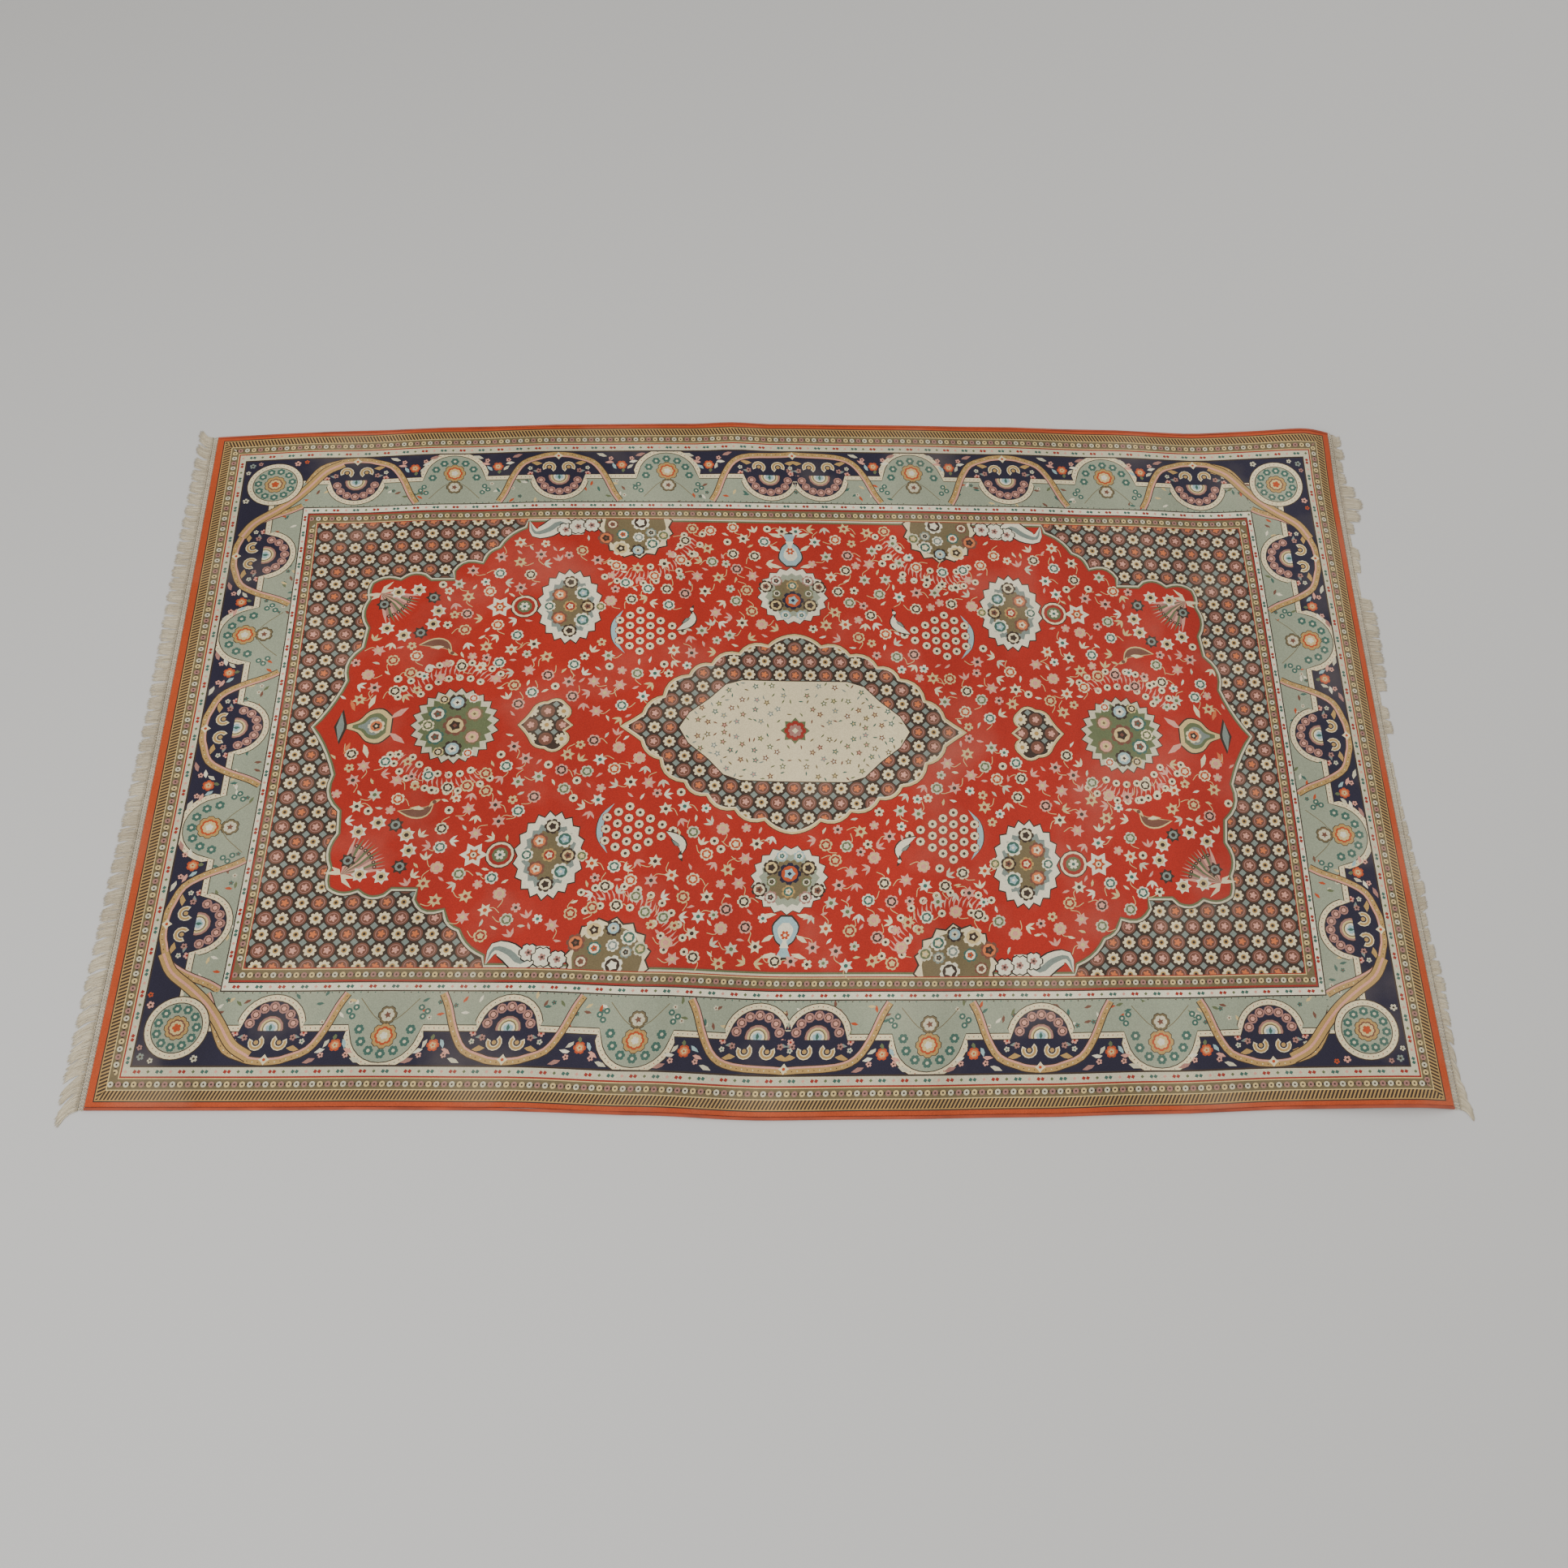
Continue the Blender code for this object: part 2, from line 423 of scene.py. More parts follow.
def around(half_length, half_width, pitch):
    """Places and directions round a rectangle, at an even pitch on each side, with outside on the right."""
    corners = rectangle(half_length, half_width)
    found = []
    for start, end in zip(corners, np.roll(corners, -1)):
        count = round(abs(end - start) / pitch)
        for i in range(count):
            found.append((start + (end - start) * (i + 0.5) / count, np.angle(end - start)))
    return found


def contains(outline, place):
    """Whether the place is inside the outline."""
    after = np.roll(outline, -1)
    crosses = (outline.imag > place.imag) != (after.imag > place.imag)
    with np.errstate(divide="ignore", invalid="ignore"):
        share = (place.imag - outline.imag) / (after.imag - outline.imag)
        at_x = outline.real + share * (after.real - outline.real)
    return bool(np.count_nonzero(crosses & (at_x > place.real)) % 2)


# Flowers, leaves and other small figures. Each is drawn round the pen's place.


def posy(pen, radius, petal, heart, petals=6):
    """A small flower in one silk with a round heart in another."""
    pen.fill(blossom(radius, petals), petal)
    pen.fill(ring(0.38 * radius, 5), heart)


def eye(pen, radius=0.0066, rim="cream", heart="umber"):
    pen.fill(ring(radius, 8), rim)
    pen.fill(ring(0.42 * radius, 5), heart)


def rosette(pen, radius, silks, petals=8):
    """Petals inside petals, and a round heart."""
    pen.fill(blossom(radius, petals, 0.80), silks[0])
    pen.fill(ring(0.72 * radius, petals + 3), silks[1])
    pen.fill(spikes(0.52 * radius, 5, 0.7), silks[2])
    pen.fill(ring(0.20 * radius, 4), silks[0])


def star_flower(pen, radius, petal, heart):
    pen.fill(spikes(radius, 6, 0.55), petal)
    pen.fill(ring(0.30 * radius, 6), heart)


def feather(pen, inner, outer, start, end, silk, count):
    """Fine barbs side by side across a curved plume."""
    for angle in np.linspace(start, end, count):
        barb = np.array([inner, (inner + outer) / 2, outer])
        line = barb * np.exp(1j * (angle + np.array([0.0, 0.02, 0.07])))
        pen.fill(tapered(line, 0.0030), silk)


def eyed_plume(pen, radii, spans, barbs):
    """A peacock's plume: an inner and an outer row of eyes with pink barbs between them."""
    (inner, outer), ((in_start, in_end, in_count), (out_start, out_end, out_count)) = radii, spans
    feather(pen, inner + 0.006, outer - 0.005, out_start + 0.1, out_end - 0.1, "pink", barbs)
    for angle in np.linspace(in_start, in_end, in_count):
        eye(pen.at(inner * np.exp(1j * angle)))
    for angle in np.linspace(out_start, out_end, out_count):
        eye(pen.at(outer * np.exp(1j * angle)))


def bird(pen, size, body, wing, line):
    """A long-tailed bird that faces +X."""
    pen = pen.at(0, 0, size)
    body_line = smooth([-0.042 + 0.012j, -0.018 - 0.002j, 0.004 - 0.006j, 0.022 + 0.004j], 3)
    pen.fill(tapered(body_line, 0.023), line)
    pen.fill(tapered(body_line * 0.92, 0.018), body)
    pen.at(0.004 - 0.001j, 2.5).fill(leaf(0.026, 0.010, 0.2), line)
    pen.at(0.004 - 0.001j, 2.5).fill(leaf(0.022, 0.007, 0.2), wing)
    pen.fill(smooth([0.012 + 0j, 0.018 + 0.009j, 0.026 + 0.011j, 0.036 + 0.008j, 0.026 + 0.004j], 2), line)
    pen.at(0.024 + 0.007j).fill(ring(0.0042, 6), body)


def beads(pen, line, pitch, silks, size=0.0014):
    for i, (place, angle) in enumerate(steps_along(line, pitch)):
        pen.at(place, angle).fill(ring(size, 3), silks[i % len(silks)])


def beaded_band(pen, line, width=0.0085):
    """A cream band with dark edges and small dark beads."""
    pen.fill(band(line, width + 0.003), "umber")
    pen.fill(band(line, width), "cream")
    beads(pen, line, 0.0075, ("brick", "teal"))


def vine(pen, line, width=0.0105):
    """A broad gold vine with a pink edge and dark beads."""
    pen.fill(band(line, width + 0.003), "umber")
    pen.fill(band(line, width), "gold")
    pen.fill(band(line, 0.0030, 0.36 * width), "pink")
    beads(pen, aside(line, -0.15 * width), 0.0085, ("umber", "cream"))


def scroll(pen, radius, silk, edge):
    """A curled volute."""
    pen.fill(sector(0.45 * radius, radius, -2.4, 2.2, 10), edge)
    pen.fill(sector(0.58 * radius, 0.88 * radius, -2.2, 2.0, 10), silk)
    pen.fill(ring(0.30 * radius, 6), silk)


def tuft(pen, radius, ground, flowers, petals=11):
    """A round bouquet: leaf tips all round, a ground, and flowers of (place, radius, silks)."""
    pen.fill(spikes(radius * 1.08, petals, 0.88), "umber")
    pen.fill(spikes(radius * 1.05, petals, 0.87), "bone")
    pen.fill(spikes(radius * 0.90, petals, 0.86, 0.2), ground)
    for place, size, silks in flowers:
        rosette(pen.at(place), size, silks, 7)


def guard_marks(pen):
    """Small marks, in pairs and single by turns, in the two pale guards."""
    for half_length, half_width in ((0.9784, 0.5831), (0.8551, 0.4525)):
        for i, (place, angle) in enumerate(around(half_length, half_width, 0.0346)):
            mark = pen.at(place, angle)
            for side in (1, -1):
                mark.at(0.0031 * side).fill(ring(0.0034, 4, 0.3), ("brick", "teal")[i % 2])
            mark.at(0.0173).fill(ring(0.0028, 4), ("moss", "pink")[i % 2])


# The main border. Along a side, a pen's +X runs along the side and its +Y points out of the rug.


def side_line(side, end, radii):
    """The line between the border's inner and outer grounds: shells swell inwards and lobes outwards."""
    line = [complex(-end, 0)]
    for place, kind in side:
        offsets = (-TWIN_OFFSET, TWIN_OFFSET) if kind == "twin" else (0,)
        outward = -1 if kind != "lobe" else 1
        radius = radii[kind]
        for offset in offsets:
            angles = np.linspace(math.pi, 0, 15)
            arc = place + offset + radius * (np.cos(angles) + 1j * outward * np.sin(angles))
            if len(offsets) == 2:
                arc = arc[:-1] if offset < 0 else arc[1:]
            line.extend(arc)
    line.append(complex(end, 0))
    return np.array(line)


def shell(pen):
    """A half rosette that swells inwards: round panels on navy about nested rings and a flower."""
    for i in range(7):
        angle = -math.pi / 2 + math.radians(25.5) * (i - 3)
        panel = pen.at(0.0340 * np.exp(1j * angle))
        panel.fill(ring(0.0079, 9), "rose")
        panel.fill(ring(0.0052, 7), "umber")
        panel.fill(ring(0.0040, 6), "pink")
    hoops = ((0.0205, "umber"), (0.0192, "rose"), (0.0158, "straw"), (0.0128, "olive"), (0.0108, "ivory"))
    for radius, silk in hoops:
        pen.fill(ring(radius, 14), silk)
    pen.fill(blossom(0.0080, 5, 0.8, -math.pi / 2), "sky")
    pen.at(0.004j, -math.pi / 2).fill(leaf(0.011, 0.006), "teal")


def shell_foot(pen):
    """What stands under a half rosette: two gold volutes on navy and small flowers beside them."""
    pen.fill([-0.046 + 0.0035j, -0.046 + 0.040j, 0.046 + 0.040j, 0.046 + 0.0035j], "navy")
    for side in (False, True):
        half = pen.at(0, math.pi if side else 0, mirrored=side)
        scroll(half.at(0.0175 + 0.0215j, 1.9), 0.0125, "gold", "cream")
        half.at(0.030 + 0.030j, -0.1).fill(leaf(0.022, 0.010, 0.3), "gold")
        half.at(0.034 + 0.011j, 0.2).fill(leaf(0.014, 0.006), "mist")
        posy(half.at(0.037 + 0.014j), 0.0052, "rose", "umber", 5)
        posy(half.at(0.052 + 0.007j), 0.0054, "pink", "brick", 5)
        posy(half.at(0.052 + 0.020j), 0.0044, "bone", "teal", 5)


def cup_vine(pen, reach, spread=0.0):
    """The gold vine that sweeps round the outer side of a shell."""
    arm = [
        complex(spread + reach, -0.054),
        complex(spread + 0.90 * reach, -0.034),
        complex(spread + 0.76 * reach, 0.004),
        complex(spread + 0.58 * reach, 0.033),
        complex(spread + 0.30 * reach, 0.0455),
        complex(0.020, 0.0490),
    ]
    arm = np.array(arm)
    line = smooth(np.concatenate([arm, [0.0505j], -arm.conj()[::-1]]), 3)
    vine(pen, line)
    pen.at(0.0475j).fill(spikes(0.0085, 4, 0.6), "cream")
    pen.at(0.0475j).fill(ring(0.0028, 5), "rust")


def lobe(pen):
    """A pale lobe that swells outwards: dark flowers round a rosette, with a smaller one behind it."""
    for i in range(7):
        angle = math.pi / 2 + math.radians(29) * (i - 3)
        flower = pen.at(0.0395 * np.exp(1j * angle))
        flower.fill(blossom(0.0078, 6, 0.8), "teal")
        flower.fill(ring(0.0028, 6), "bone")
    heart = pen.at(0.012j)
    for radius, silk in ((0.0205, "umber"), (0.0192, "gold"), (0.0145, "rust"), (0.0110, "straw")):
        heart.fill(blossom(radius, 8, 0.86), silk)
    heart.fill(blossom(0.0062, 5, 0.7), "ivory")
    back = pen.at(-0.020j)
    for radius, silk in ((0.0150, "umber"), (0.0138, "olive"), (0.0105, "bone")):
        back.fill(blossom(radius, 6, 0.84), silk)
    back.fill(spikes(0.0060, 5, 0.5), "brown")
    for side in (1, -1):
        for place in (0.050 - 0.032j, 0.060 - 0.026j, 0.054 - 0.018j):
            eye(pen.at(complex(side * place.real, place.imag)), 0.0052, "teal", "bone")
        twig = smooth([0, side * 0.02 - 0.012j, side * 0.045 - 0.040j], 3)
        pen.at(-0.006j).fill(band(twig, 0.0012), "olive")


def gap_flowers(pen, rng):
    """Flowers and leaves on the navy ground between a vine and a lobe."""
    rosette(pen.at(0.026j), 0.0098, ("rust", "orange", "straw"), 6)
    for place, angle, length, silk in (
        (-0.010 + 0.017j, 2.2, 0.015, "sky"),
        (0.010 + 0.017j, 0.9, 0.015, "bone"),
        (-0.014 + 0.032j, 2.9, 0.016, "pink"),
        (0.014 + 0.032j, 0.2, 0.016, "ivory"),
        (0.002 + 0.009j, 1.6, 0.010, "moss"),
    ):
        pen.at(place, angle).fill(leaf(length, 0.0072, rng.uniform(-0.3, 0.3)), silk)
    for side in (1, -1):
        pen.at(complex(0.026 * side, 0.046), 0.35 * side + (0 if side > 0 else math.pi)).fill(
            leaf(0.020, 0.0080), "rose" if side > 0 else "bone"
        )
        posy(pen.at(complex(0.019 * side, 0.041)), 0.0046, "pink", "umber", 5)


def inner_leaves(pen, end, rng):
    """Leaves and posies strewn on the border's pale inner ground, and beads along its inner edge."""
    place = -end
    while place < end:
        spot = complex(place, rng.uniform(-0.050, -0.012))
        silk = rng.choice(("teal", "rust", "straw", "ivory", "moss", "brown"))
        pen.at(spot, rng.uniform(0, math.tau)).fill(leaf(0.013, 0.0055), silk)
        if rng.random() < 0.4:
            posy(pen.at(spot + complex(0.010, 0.004)), 0.0040, rng.choice(("bone", "teal")), "brown", 5)
        place += 0.0125
    beads(pen, [complex(-end, -0.0555), complex(end, -0.0555)], 0.011, ("umber", "teal"), 0.0016)


def border_side(pen, side, end, rng):
    """One side of the main border, with its motifs from the side's table."""
    radii = {"shell": SHELL_RADIUS, "twin": SHELL_RADIUS, "lobe": LOBE_RADIUS}
    line = side_line(side, end, radii)
    ground = np.concatenate([line, [complex(end, -BORDER_HALF), complex(-end, -BORDER_HALF)]])
    pen = pen.at(0.001j)
    pen.fill(ground, "sage")
    inner_leaves(pen, end, rng)
    navy_shells = []
    for place, kind in side:
        offsets = (-TWIN_OFFSET, TWIN_OFFSET) if kind == "twin" else (0,)
        for offset in offsets:
            if kind != "lobe":
                pen.at(place + offset).fill(ring(SHELL_RADIUS, 28), "navy")
                navy_shells.append(place + offset)
    for place in navy_shells:
        shell(pen.at(place))
    for place in navy_shells:
        shell_foot(pen.at(place))
    for place, kind in side:
        if kind == "lobe":
            pen.at(place).fill(ring(LOBE_RADIUS, 28), "sage")
            lobe(pen.at(place))
    beaded_band(pen, line)
    for (place, kind), (after, _) in zip(side, side[1:]):
        edge = LOBE_RADIUS if kind == "lobe" else 0.090
        other = LOBE_RADIUS + 0.090 - edge
        low = place + edge + (TWIN_OFFSET if kind == "twin" else 0)
        high = after - other - (TWIN_OFFSET if kind == "lobe" and dict(side)[after] == "twin" else 0)
        gap_flowers(pen.at((low + high) / 2), rng)
    for place, kind in side:
        if kind == "shell":
            cup_vine(pen.at(place), 0.108)
        elif kind == "twin":
            cup_vine(pen.at(place), 0.108, TWIN_OFFSET)


def corner_lobe(pen):
    """The round flower in a corner of the main border; the pen's +X and +Y point out of the rug."""
    leaf_line = [-0.118 + 0.044j, -0.088 + 0.026j, -0.062 - 0.008j, -0.037 - 0.037j]
    leaf_line = smooth(leaf_line + [complex(z.imag, z.real) for z in leaf_line[-2::-1]], 4)
    pen.fill(band(leaf_line, 0.019), "umber")
    pen.fill(band(leaf_line, 0.016), "gold")
    pen.fill(band(leaf_line, 0.004), "pink")
    pen.fill(ring(CORNER_RADIUS + 0.0018, 32), "umber")
    pen.fill(ring(CORNER_RADIUS, 32), "cream")
    closed = ring(CORNER_RADIUS - 0.0045, 41)
    beads(pen, np.append(closed, closed[0]), 0.0078, ("brick", "teal"))
    pen.fill(ring(CORNER_RADIUS - 0.0085, 30), "umber")
    pen.fill(ring(CORNER_RADIUS - 0.0100, 30), "sage")
    for i in range(11):
        flower = pen.at(0.0300 * np.exp(1j * math.tau * (i / 11 + 0.05)))
        flower.fill(blossom(0.0074, 6, 0.8), "teal")
        flower.fill(ring(0.0028, 6), "bone")
    for radius, silk in ((0.0195, "umber"), (0.0182, "gold"), (0.0135, "brown"), (0.0110, "straw")):
        pen.fill(blossom(radius, 9, 0.88), silk)
    pen.fill(blossom(0.0070, 5, 0.7), "rust")
    for place, silk in ((0.046 + 0.044j, "mist"), (0.047 - 0.036j, "pink"), (-0.036 + 0.047j, "bone")):
        posy(pen.at(place), 0.0058, silk, "umber", 5)
    for place, silk in ((0.050 + 0.030j, "rose"), (0.030 + 0.050j, "bone"), (0.050 - 0.052j, "rust")):
        posy(pen.at(place), 0.0044, silk, "umber", 5)


def main_border(pen, rng):
    """The four sides of the main border, then its four corners."""
    sides = (
        # ("turn of the side in quarter turns", "distance", "end", "motifs")
        (0, BORDER_Y, BORDER_X, LONG_SIDE),
        (1, BORDER_X, BORDER_Y, SHORT_SIDE),
        (2, BORDER_Y, BORDER_X, [(-place, kind) for place, kind in reversed(LONG_SIDE)]),
        (3, BORDER_X, BORDER_Y, [(-place, kind) for place, kind in reversed(SHORT_SIDE)]),
    )
    for quarters, distance, end, motifs in sides:
        turned = math.pi / 2 * quarters
        place = distance * complex(-math.sin(turned), math.cos(turned))
        border_side(pen.at(place, turned), motifs, end, rng)
    for quarters, (x, y) in enumerate(((1, 1), (-1, 1), (-1, -1), (1, -1))):
        corner_lobe(pen.at(complex(x * BORDER_X, y * BORDER_Y), math.pi / 2 * quarters))


# The red field and what stands on it.


FLOWER_SILKS = (
    ("cream", "rust"),
    ("pink", "umber"),
    ("ivory", "teal"),
    ("pink", "straw"),
    ("straw", "brick"),
    ("cream", "umber"),
    ("bone", "moss"),
)
BOUQUET_FLOWERS = (
    # ("place", "radius", "silks")
    (0.000 + 0.000j, 0.020, ("brown", "straw", "umber")),
    (0.000 + 0.044j, 0.016, ("umber", "sky", "ivory")),
    (0.000 - 0.044j, 0.016, ("umber", "sky", "ivory")),
    (0.030 + 0.022j, 0.015, ("teal", "ivory", "brown")),
    (0.030 - 0.022j, 0.015, ("teal", "ivory", "brown")),
    (-0.030 + 0.022j, 0.015, ("olive", "pink", "straw")),
    (-0.030 - 0.022j, 0.015, ("olive", "pink", "straw")),
    (0.044 + 0.000j, 0.011, ("cream", "moss", "cream")),
    (0.022 + 0.050j, 0.009, ("straw", "umber", "cream")),
    (0.022 - 0.050j, 0.009, ("straw", "umber", "cream")),
    (-0.026 + 0.052j, 0.009, ("ivory", "rust", "ivory")),
    (-0.026 - 0.052j, 0.009, ("ivory", "rust", "ivory")),
)


def side_bouquet(pen):
    """The vase on the long axis, its foot to +X, with a round bouquet to -X."""
    vase = pen.at(0.700)
    vase.fill([0.060 + 0j, 0.048 + 0.034j, 0.040 + 0.006j, 0.040 - 0.006j, 0.048 - 0.034j], "umber")
    vase.fill([0.056 + 0j, 0.050 + 0.028j, 0.044 + 0.005j, 0.044 - 0.005j, 0.050 - 0.028j], "mist")
    bowl = smooth([0.042 + 0.004j, 0.022 + 0.012j, 0.006 + 0.030j, -0.016 + 0.034j, -0.034 + 0.018j], 3)
    for size, silk in ((1.0, "umber"), (0.93, "straw"), (0.72, "moss"), (0.5, "mist")):
        vase.fill(np.concatenate([bowl, bowl.conj()[::-1]]) * size, silk)
    rosette(vase.at(-0.008), 0.014, ("cream", "orange", "umber"), 7)
    for side in (1, -1):
        vase.at(complex(-0.030, 0.014 * side), side * 2.5).fill(leaf(0.034, 0.012), "pink")
        vase.at(complex(0.008, 0.034 * side), side * 1.9).fill(leaf(0.028, 0.010), "cream")
        vase.at(complex(0.030, 0.030 * side), side * 1.2).fill(leaf(0.024, 0.008), "orange")
    tuft(pen.at(0.565), 0.068, "moss", BOUQUET_FLOWERS, 23)


def large_bouquet(pen):
    """A tall leafy bouquet with a small red vase to +X and a palmette beyond it."""
    bouquet = pen.at(0.388 + 0.235j)
    outline = spikes(1.0, 19, 0.88, 0.2)
    outline = 0.056 * outline.real + 0.076j * outline.imag
    bouquet.fill(outline * 1.04, "umber")
    bouquet.fill(outline, "ivory")
    bouquet.fill(outline * 0.78, "mist")
    bouquet.fill(outline * 0.62, "olive")
    for place, size, silks in (
        (0.000 + 0.050j, 0.0135, ("umber", "cream", "umber")),
        (0.000 - 0.050j, 0.0135, ("umber", "cream", "umber")),
        (-0.022 + 0.028j, 0.0150, ("ivory", "teal", "sky")),
        (-0.022 - 0.028j, 0.0150, ("ivory", "teal", "sky")),
        (-0.030 + 0.000j, 0.0130, ("umber", "straw", "brown")),
        (0.018 + 0.024j, 0.0140, ("brown", "orange", "cream")),
        (0.018 - 0.024j, 0.0140, ("brown", "orange", "cream")),
        (0.000 + 0.000j, 0.0120, ("gold", "brick", "cream")),
        (0.036 + 0.000j, 0.0110, ("ivory", "teal", "ivory")),
        (-0.052 + 0.000j, 0.0100, ("cream", "moss", "straw")),
    ):
        rosette(bouquet.at(place), size, silks, 7)
    vase = pen.at(0.466 + 0.235j)
    vase.fill(ring(0.0240, 14), "umber")
    vase.fill(ring(0.0222, 14), "cream")
    vase.fill(ring(0.0185, 12), "brick")
    vase.fill(ring(0.0130, 9), "moss")
    posy(vase, 0.0085, "ivory", "teal", 6)
    palmette = pen.at(0.508 + 0.235j)
    palmette.fill(spikes(0.0225, 6, 0.6), "ivory")
    palmette.fill(spikes(0.0120, 6, 0.6), "rust")
    eye(palmette, 0.0050)


def fan_and_wreath(pen):
    """A pink fan of feathers inside a wreath of white flowers."""
    foot = pen.at(0.711 + 0.268j, math.pi + math.radians(42))
    for angle in np.linspace(-0.62, 0.62, 13):
        silk = ("pink", "moss", "rose")[round(abs(angle) * 10) % 3]
        foot.at(0, angle).fill(leaf(0.070, 0.0072), silk)
    for angle in np.linspace(-0.5, 0.5, 7):
        eye(foot.at(0.052 * np.exp(1j * angle)), 0.0034, "umber", "pink")
    for angle, length in ((2.0, 0.026), (-1.9, 0.030), (-1.3, 0.024), (1.4, 0.020)):
        foot.at(0, angle).fill(leaf(length, 0.008, 0.3), "cream")
    middle = pen.at(0.659 + 0.226j)
    for i, degrees in enumerate((-32, 2, 38, 76, 118, 158, 222, 262, 296)):
        place = 0.048 * np.exp(1j * math.radians(180 - degrees))
        flower = middle.at(complex(place))
        flower.fill(spikes(0.0138, 7, 0.66), "umber" if i % 3 == 2 else "ivory")
        flower.fill(ring(0.0078, 8), "mist" if i % 3 == 2 else "straw")
        flower.fill(ring(0.0040, 6), "umber")


def honeycomb(pen):
    """A pointed fruit of eye flowers in close rows, with a pale blue crescent behind it."""
    fruit = pen.at(0.262 + 0.187j)
    crescent = smooth([0.034 + 0.042j, 0.047 + 0.020j, 0.050 + 0j, 0.046 - 0.024j, 0.030 - 0.046j], 3)
    fruit.fill(tapered(crescent, 0.013), "umber")
    fruit.fill(tapered(crescent, 0.010), "sky")
    columns = ((0.040, 3), (0.0225, 4), (0.005, 5), (-0.0125, 4), (-0.030, 3), (-0.050, 2), (-0.068, 1))
    for x, count in columns:
        for row in range(count):
            y = 0.0205 * (row - (count - 1) / 2)
            cell = fruit.at(complex(x, y))
            cell.fill(ring(0.0088, 6, math.pi / 6), "brick")
            cell.fill(ring(0.0074, 8), "cream")
            cell.fill(ring(0.0030, 5), "umber")


def edge_bouquet(pen):
    """Half a bouquet against the field's long edge, under an arc of eye flowers."""
    middle = pen.at(0.275 + 0.404j)
    eyed_plume(middle, (0.0885, 0.1200), ((-2.95, -1.05, 8), (-3.02, -1.10, 11)), 24)
    middle.fill(spikes(0.070, 15, 0.88), "umber")
    middle.fill(spikes(0.067, 15, 0.87), "cream")
    middle.fill(ring(0.055, 18), "olive")
    for place, size, silks in (
        (0.026 - 0.046j, 0.0165, ("cream", "straw", "umber")),
        (-0.004 - 0.050j, 0.0130, ("umber", "sky", "bone")),
        (-0.030 - 0.036j, 0.0130, ("ivory", "teal", "cream")),
        (-0.050 - 0.018j, 0.0120, ("bone", "moss", "straw")),
        (0.052 - 0.024j, 0.0150, ("brown", "orange", "umber")),
        (-0.006 - 0.022j, 0.0105, ("ivory", "mist", "ivory")),
        (-0.028 - 0.012j, 0.0100, ("mist", "bone", "umber")),
        (0.022 - 0.016j, 0.0115, ("teal", "ivory", "rust")),
        (-0.010 + 0.010j, 0.0165, ("ivory", "umber", "ivory")),
        (0.040 + 0.006j, 0.0110, ("brown", "cream", "brown")),
    ):
        rosette(middle.at(place), size, silks, 7)


def cloud(pen):
    """A white curled cloud against the field's long edge."""
    tail = [0.462 + 0.418j, 0.452 + 0.392j, 0.428 + 0.398j, 0.408 + 0.412j, 0.384 + 0.396j, 0.366 + 0.388j]
    line = smooth(tail, 3)
    pen.fill(tapered(line, 0.036), "black")
    pen.fill(tapered(line, 0.031), "ivory")
    pen.fill(tapered(line, 0.010), "mist")
    for place, size in ((0.398 + 0.398j, 0.016), (0.376 + 0.405j, 0.018), (0.352 + 0.408j, 0.016)):
        pen.at(place).fill(blossom(size, 6, 0.8), "black")
        pen.at(place).fill(blossom(size - 0.0022, 6, 0.8), "ivory")
        posy(pen.at(place), 0.0062, "rose", "umber", 5)


def vase_palmette(pen):
    """The broad palmette on the short axis, with its vase and foot toward +Y."""
    head = pen.at(0.264j)
    outline = spikes(1.0, 19, 0.89, math.pi / 2)
    outline = 0.062 * outline.real + 0.058j * outline.imag
    head.fill(outline * 1.03, "umber")
    head.fill(outline, "ivory")
    head.fill(outline * 0.80, "sage")
    head.fill(outline * 0.60, "olive")
    for side in (1, -1):
        for place, size, silks in (
            (0.030 - 0.020j, 0.0135, ("umber", "straw", "umber")),
            (0.047 + 0.018j, 0.0130, ("umber", "cream", "brown")),
            (0.028 + 0.004j, 0.0085, ("moss", "bone", "umber")),
            (0.028 + 0.030j, 0.0110, ("rose", "ivory", "umber")),
            (0.014 - 0.040j, 0.0095, ("sky", "ivory", "teal")),
        ):
            rosette(head.at(complex(side * place.real, place.imag)), size, silks, 7)
    rosette(head.at(-0.010j), 0.0190, ("navy", "rust", "sky"), 8)
    rosette(head.at(0.020j), 0.0110, ("gold", "teal", "cream"), 7)
    vase = pen.at(0.352j)
    bowl = smooth([-0.008 - 0.026j, -0.020 - 0.010j, -0.014 + 0.012j, -0.005 + 0.022j, -0.012 + 0.040j], 3)
    for size, silk in ((1.12, "umber"), (1.0, "sky"), (0.62, "ivory")):
        vase.fill(np.concatenate([bowl, -bowl.conj()[::-1]]) * size, silk)
    posy(vase.at(0.004j), 0.0075, "rust", "ivory", 6)
    leaves = ((0.016 - 0.030j, 0.2, 0.030), (0.018 + 0.004j, 0.6, 0.022), (0.012 + 0.034j, 0.3, 0.026))
    for side in (1, -1):
        for place, angle, length in leaves:
            turn = angle if side > 0 else math.pi - angle
            vase.at(complex(side * place.real, place.imag), turn).fill(leaf(length, 0.009), "cream")


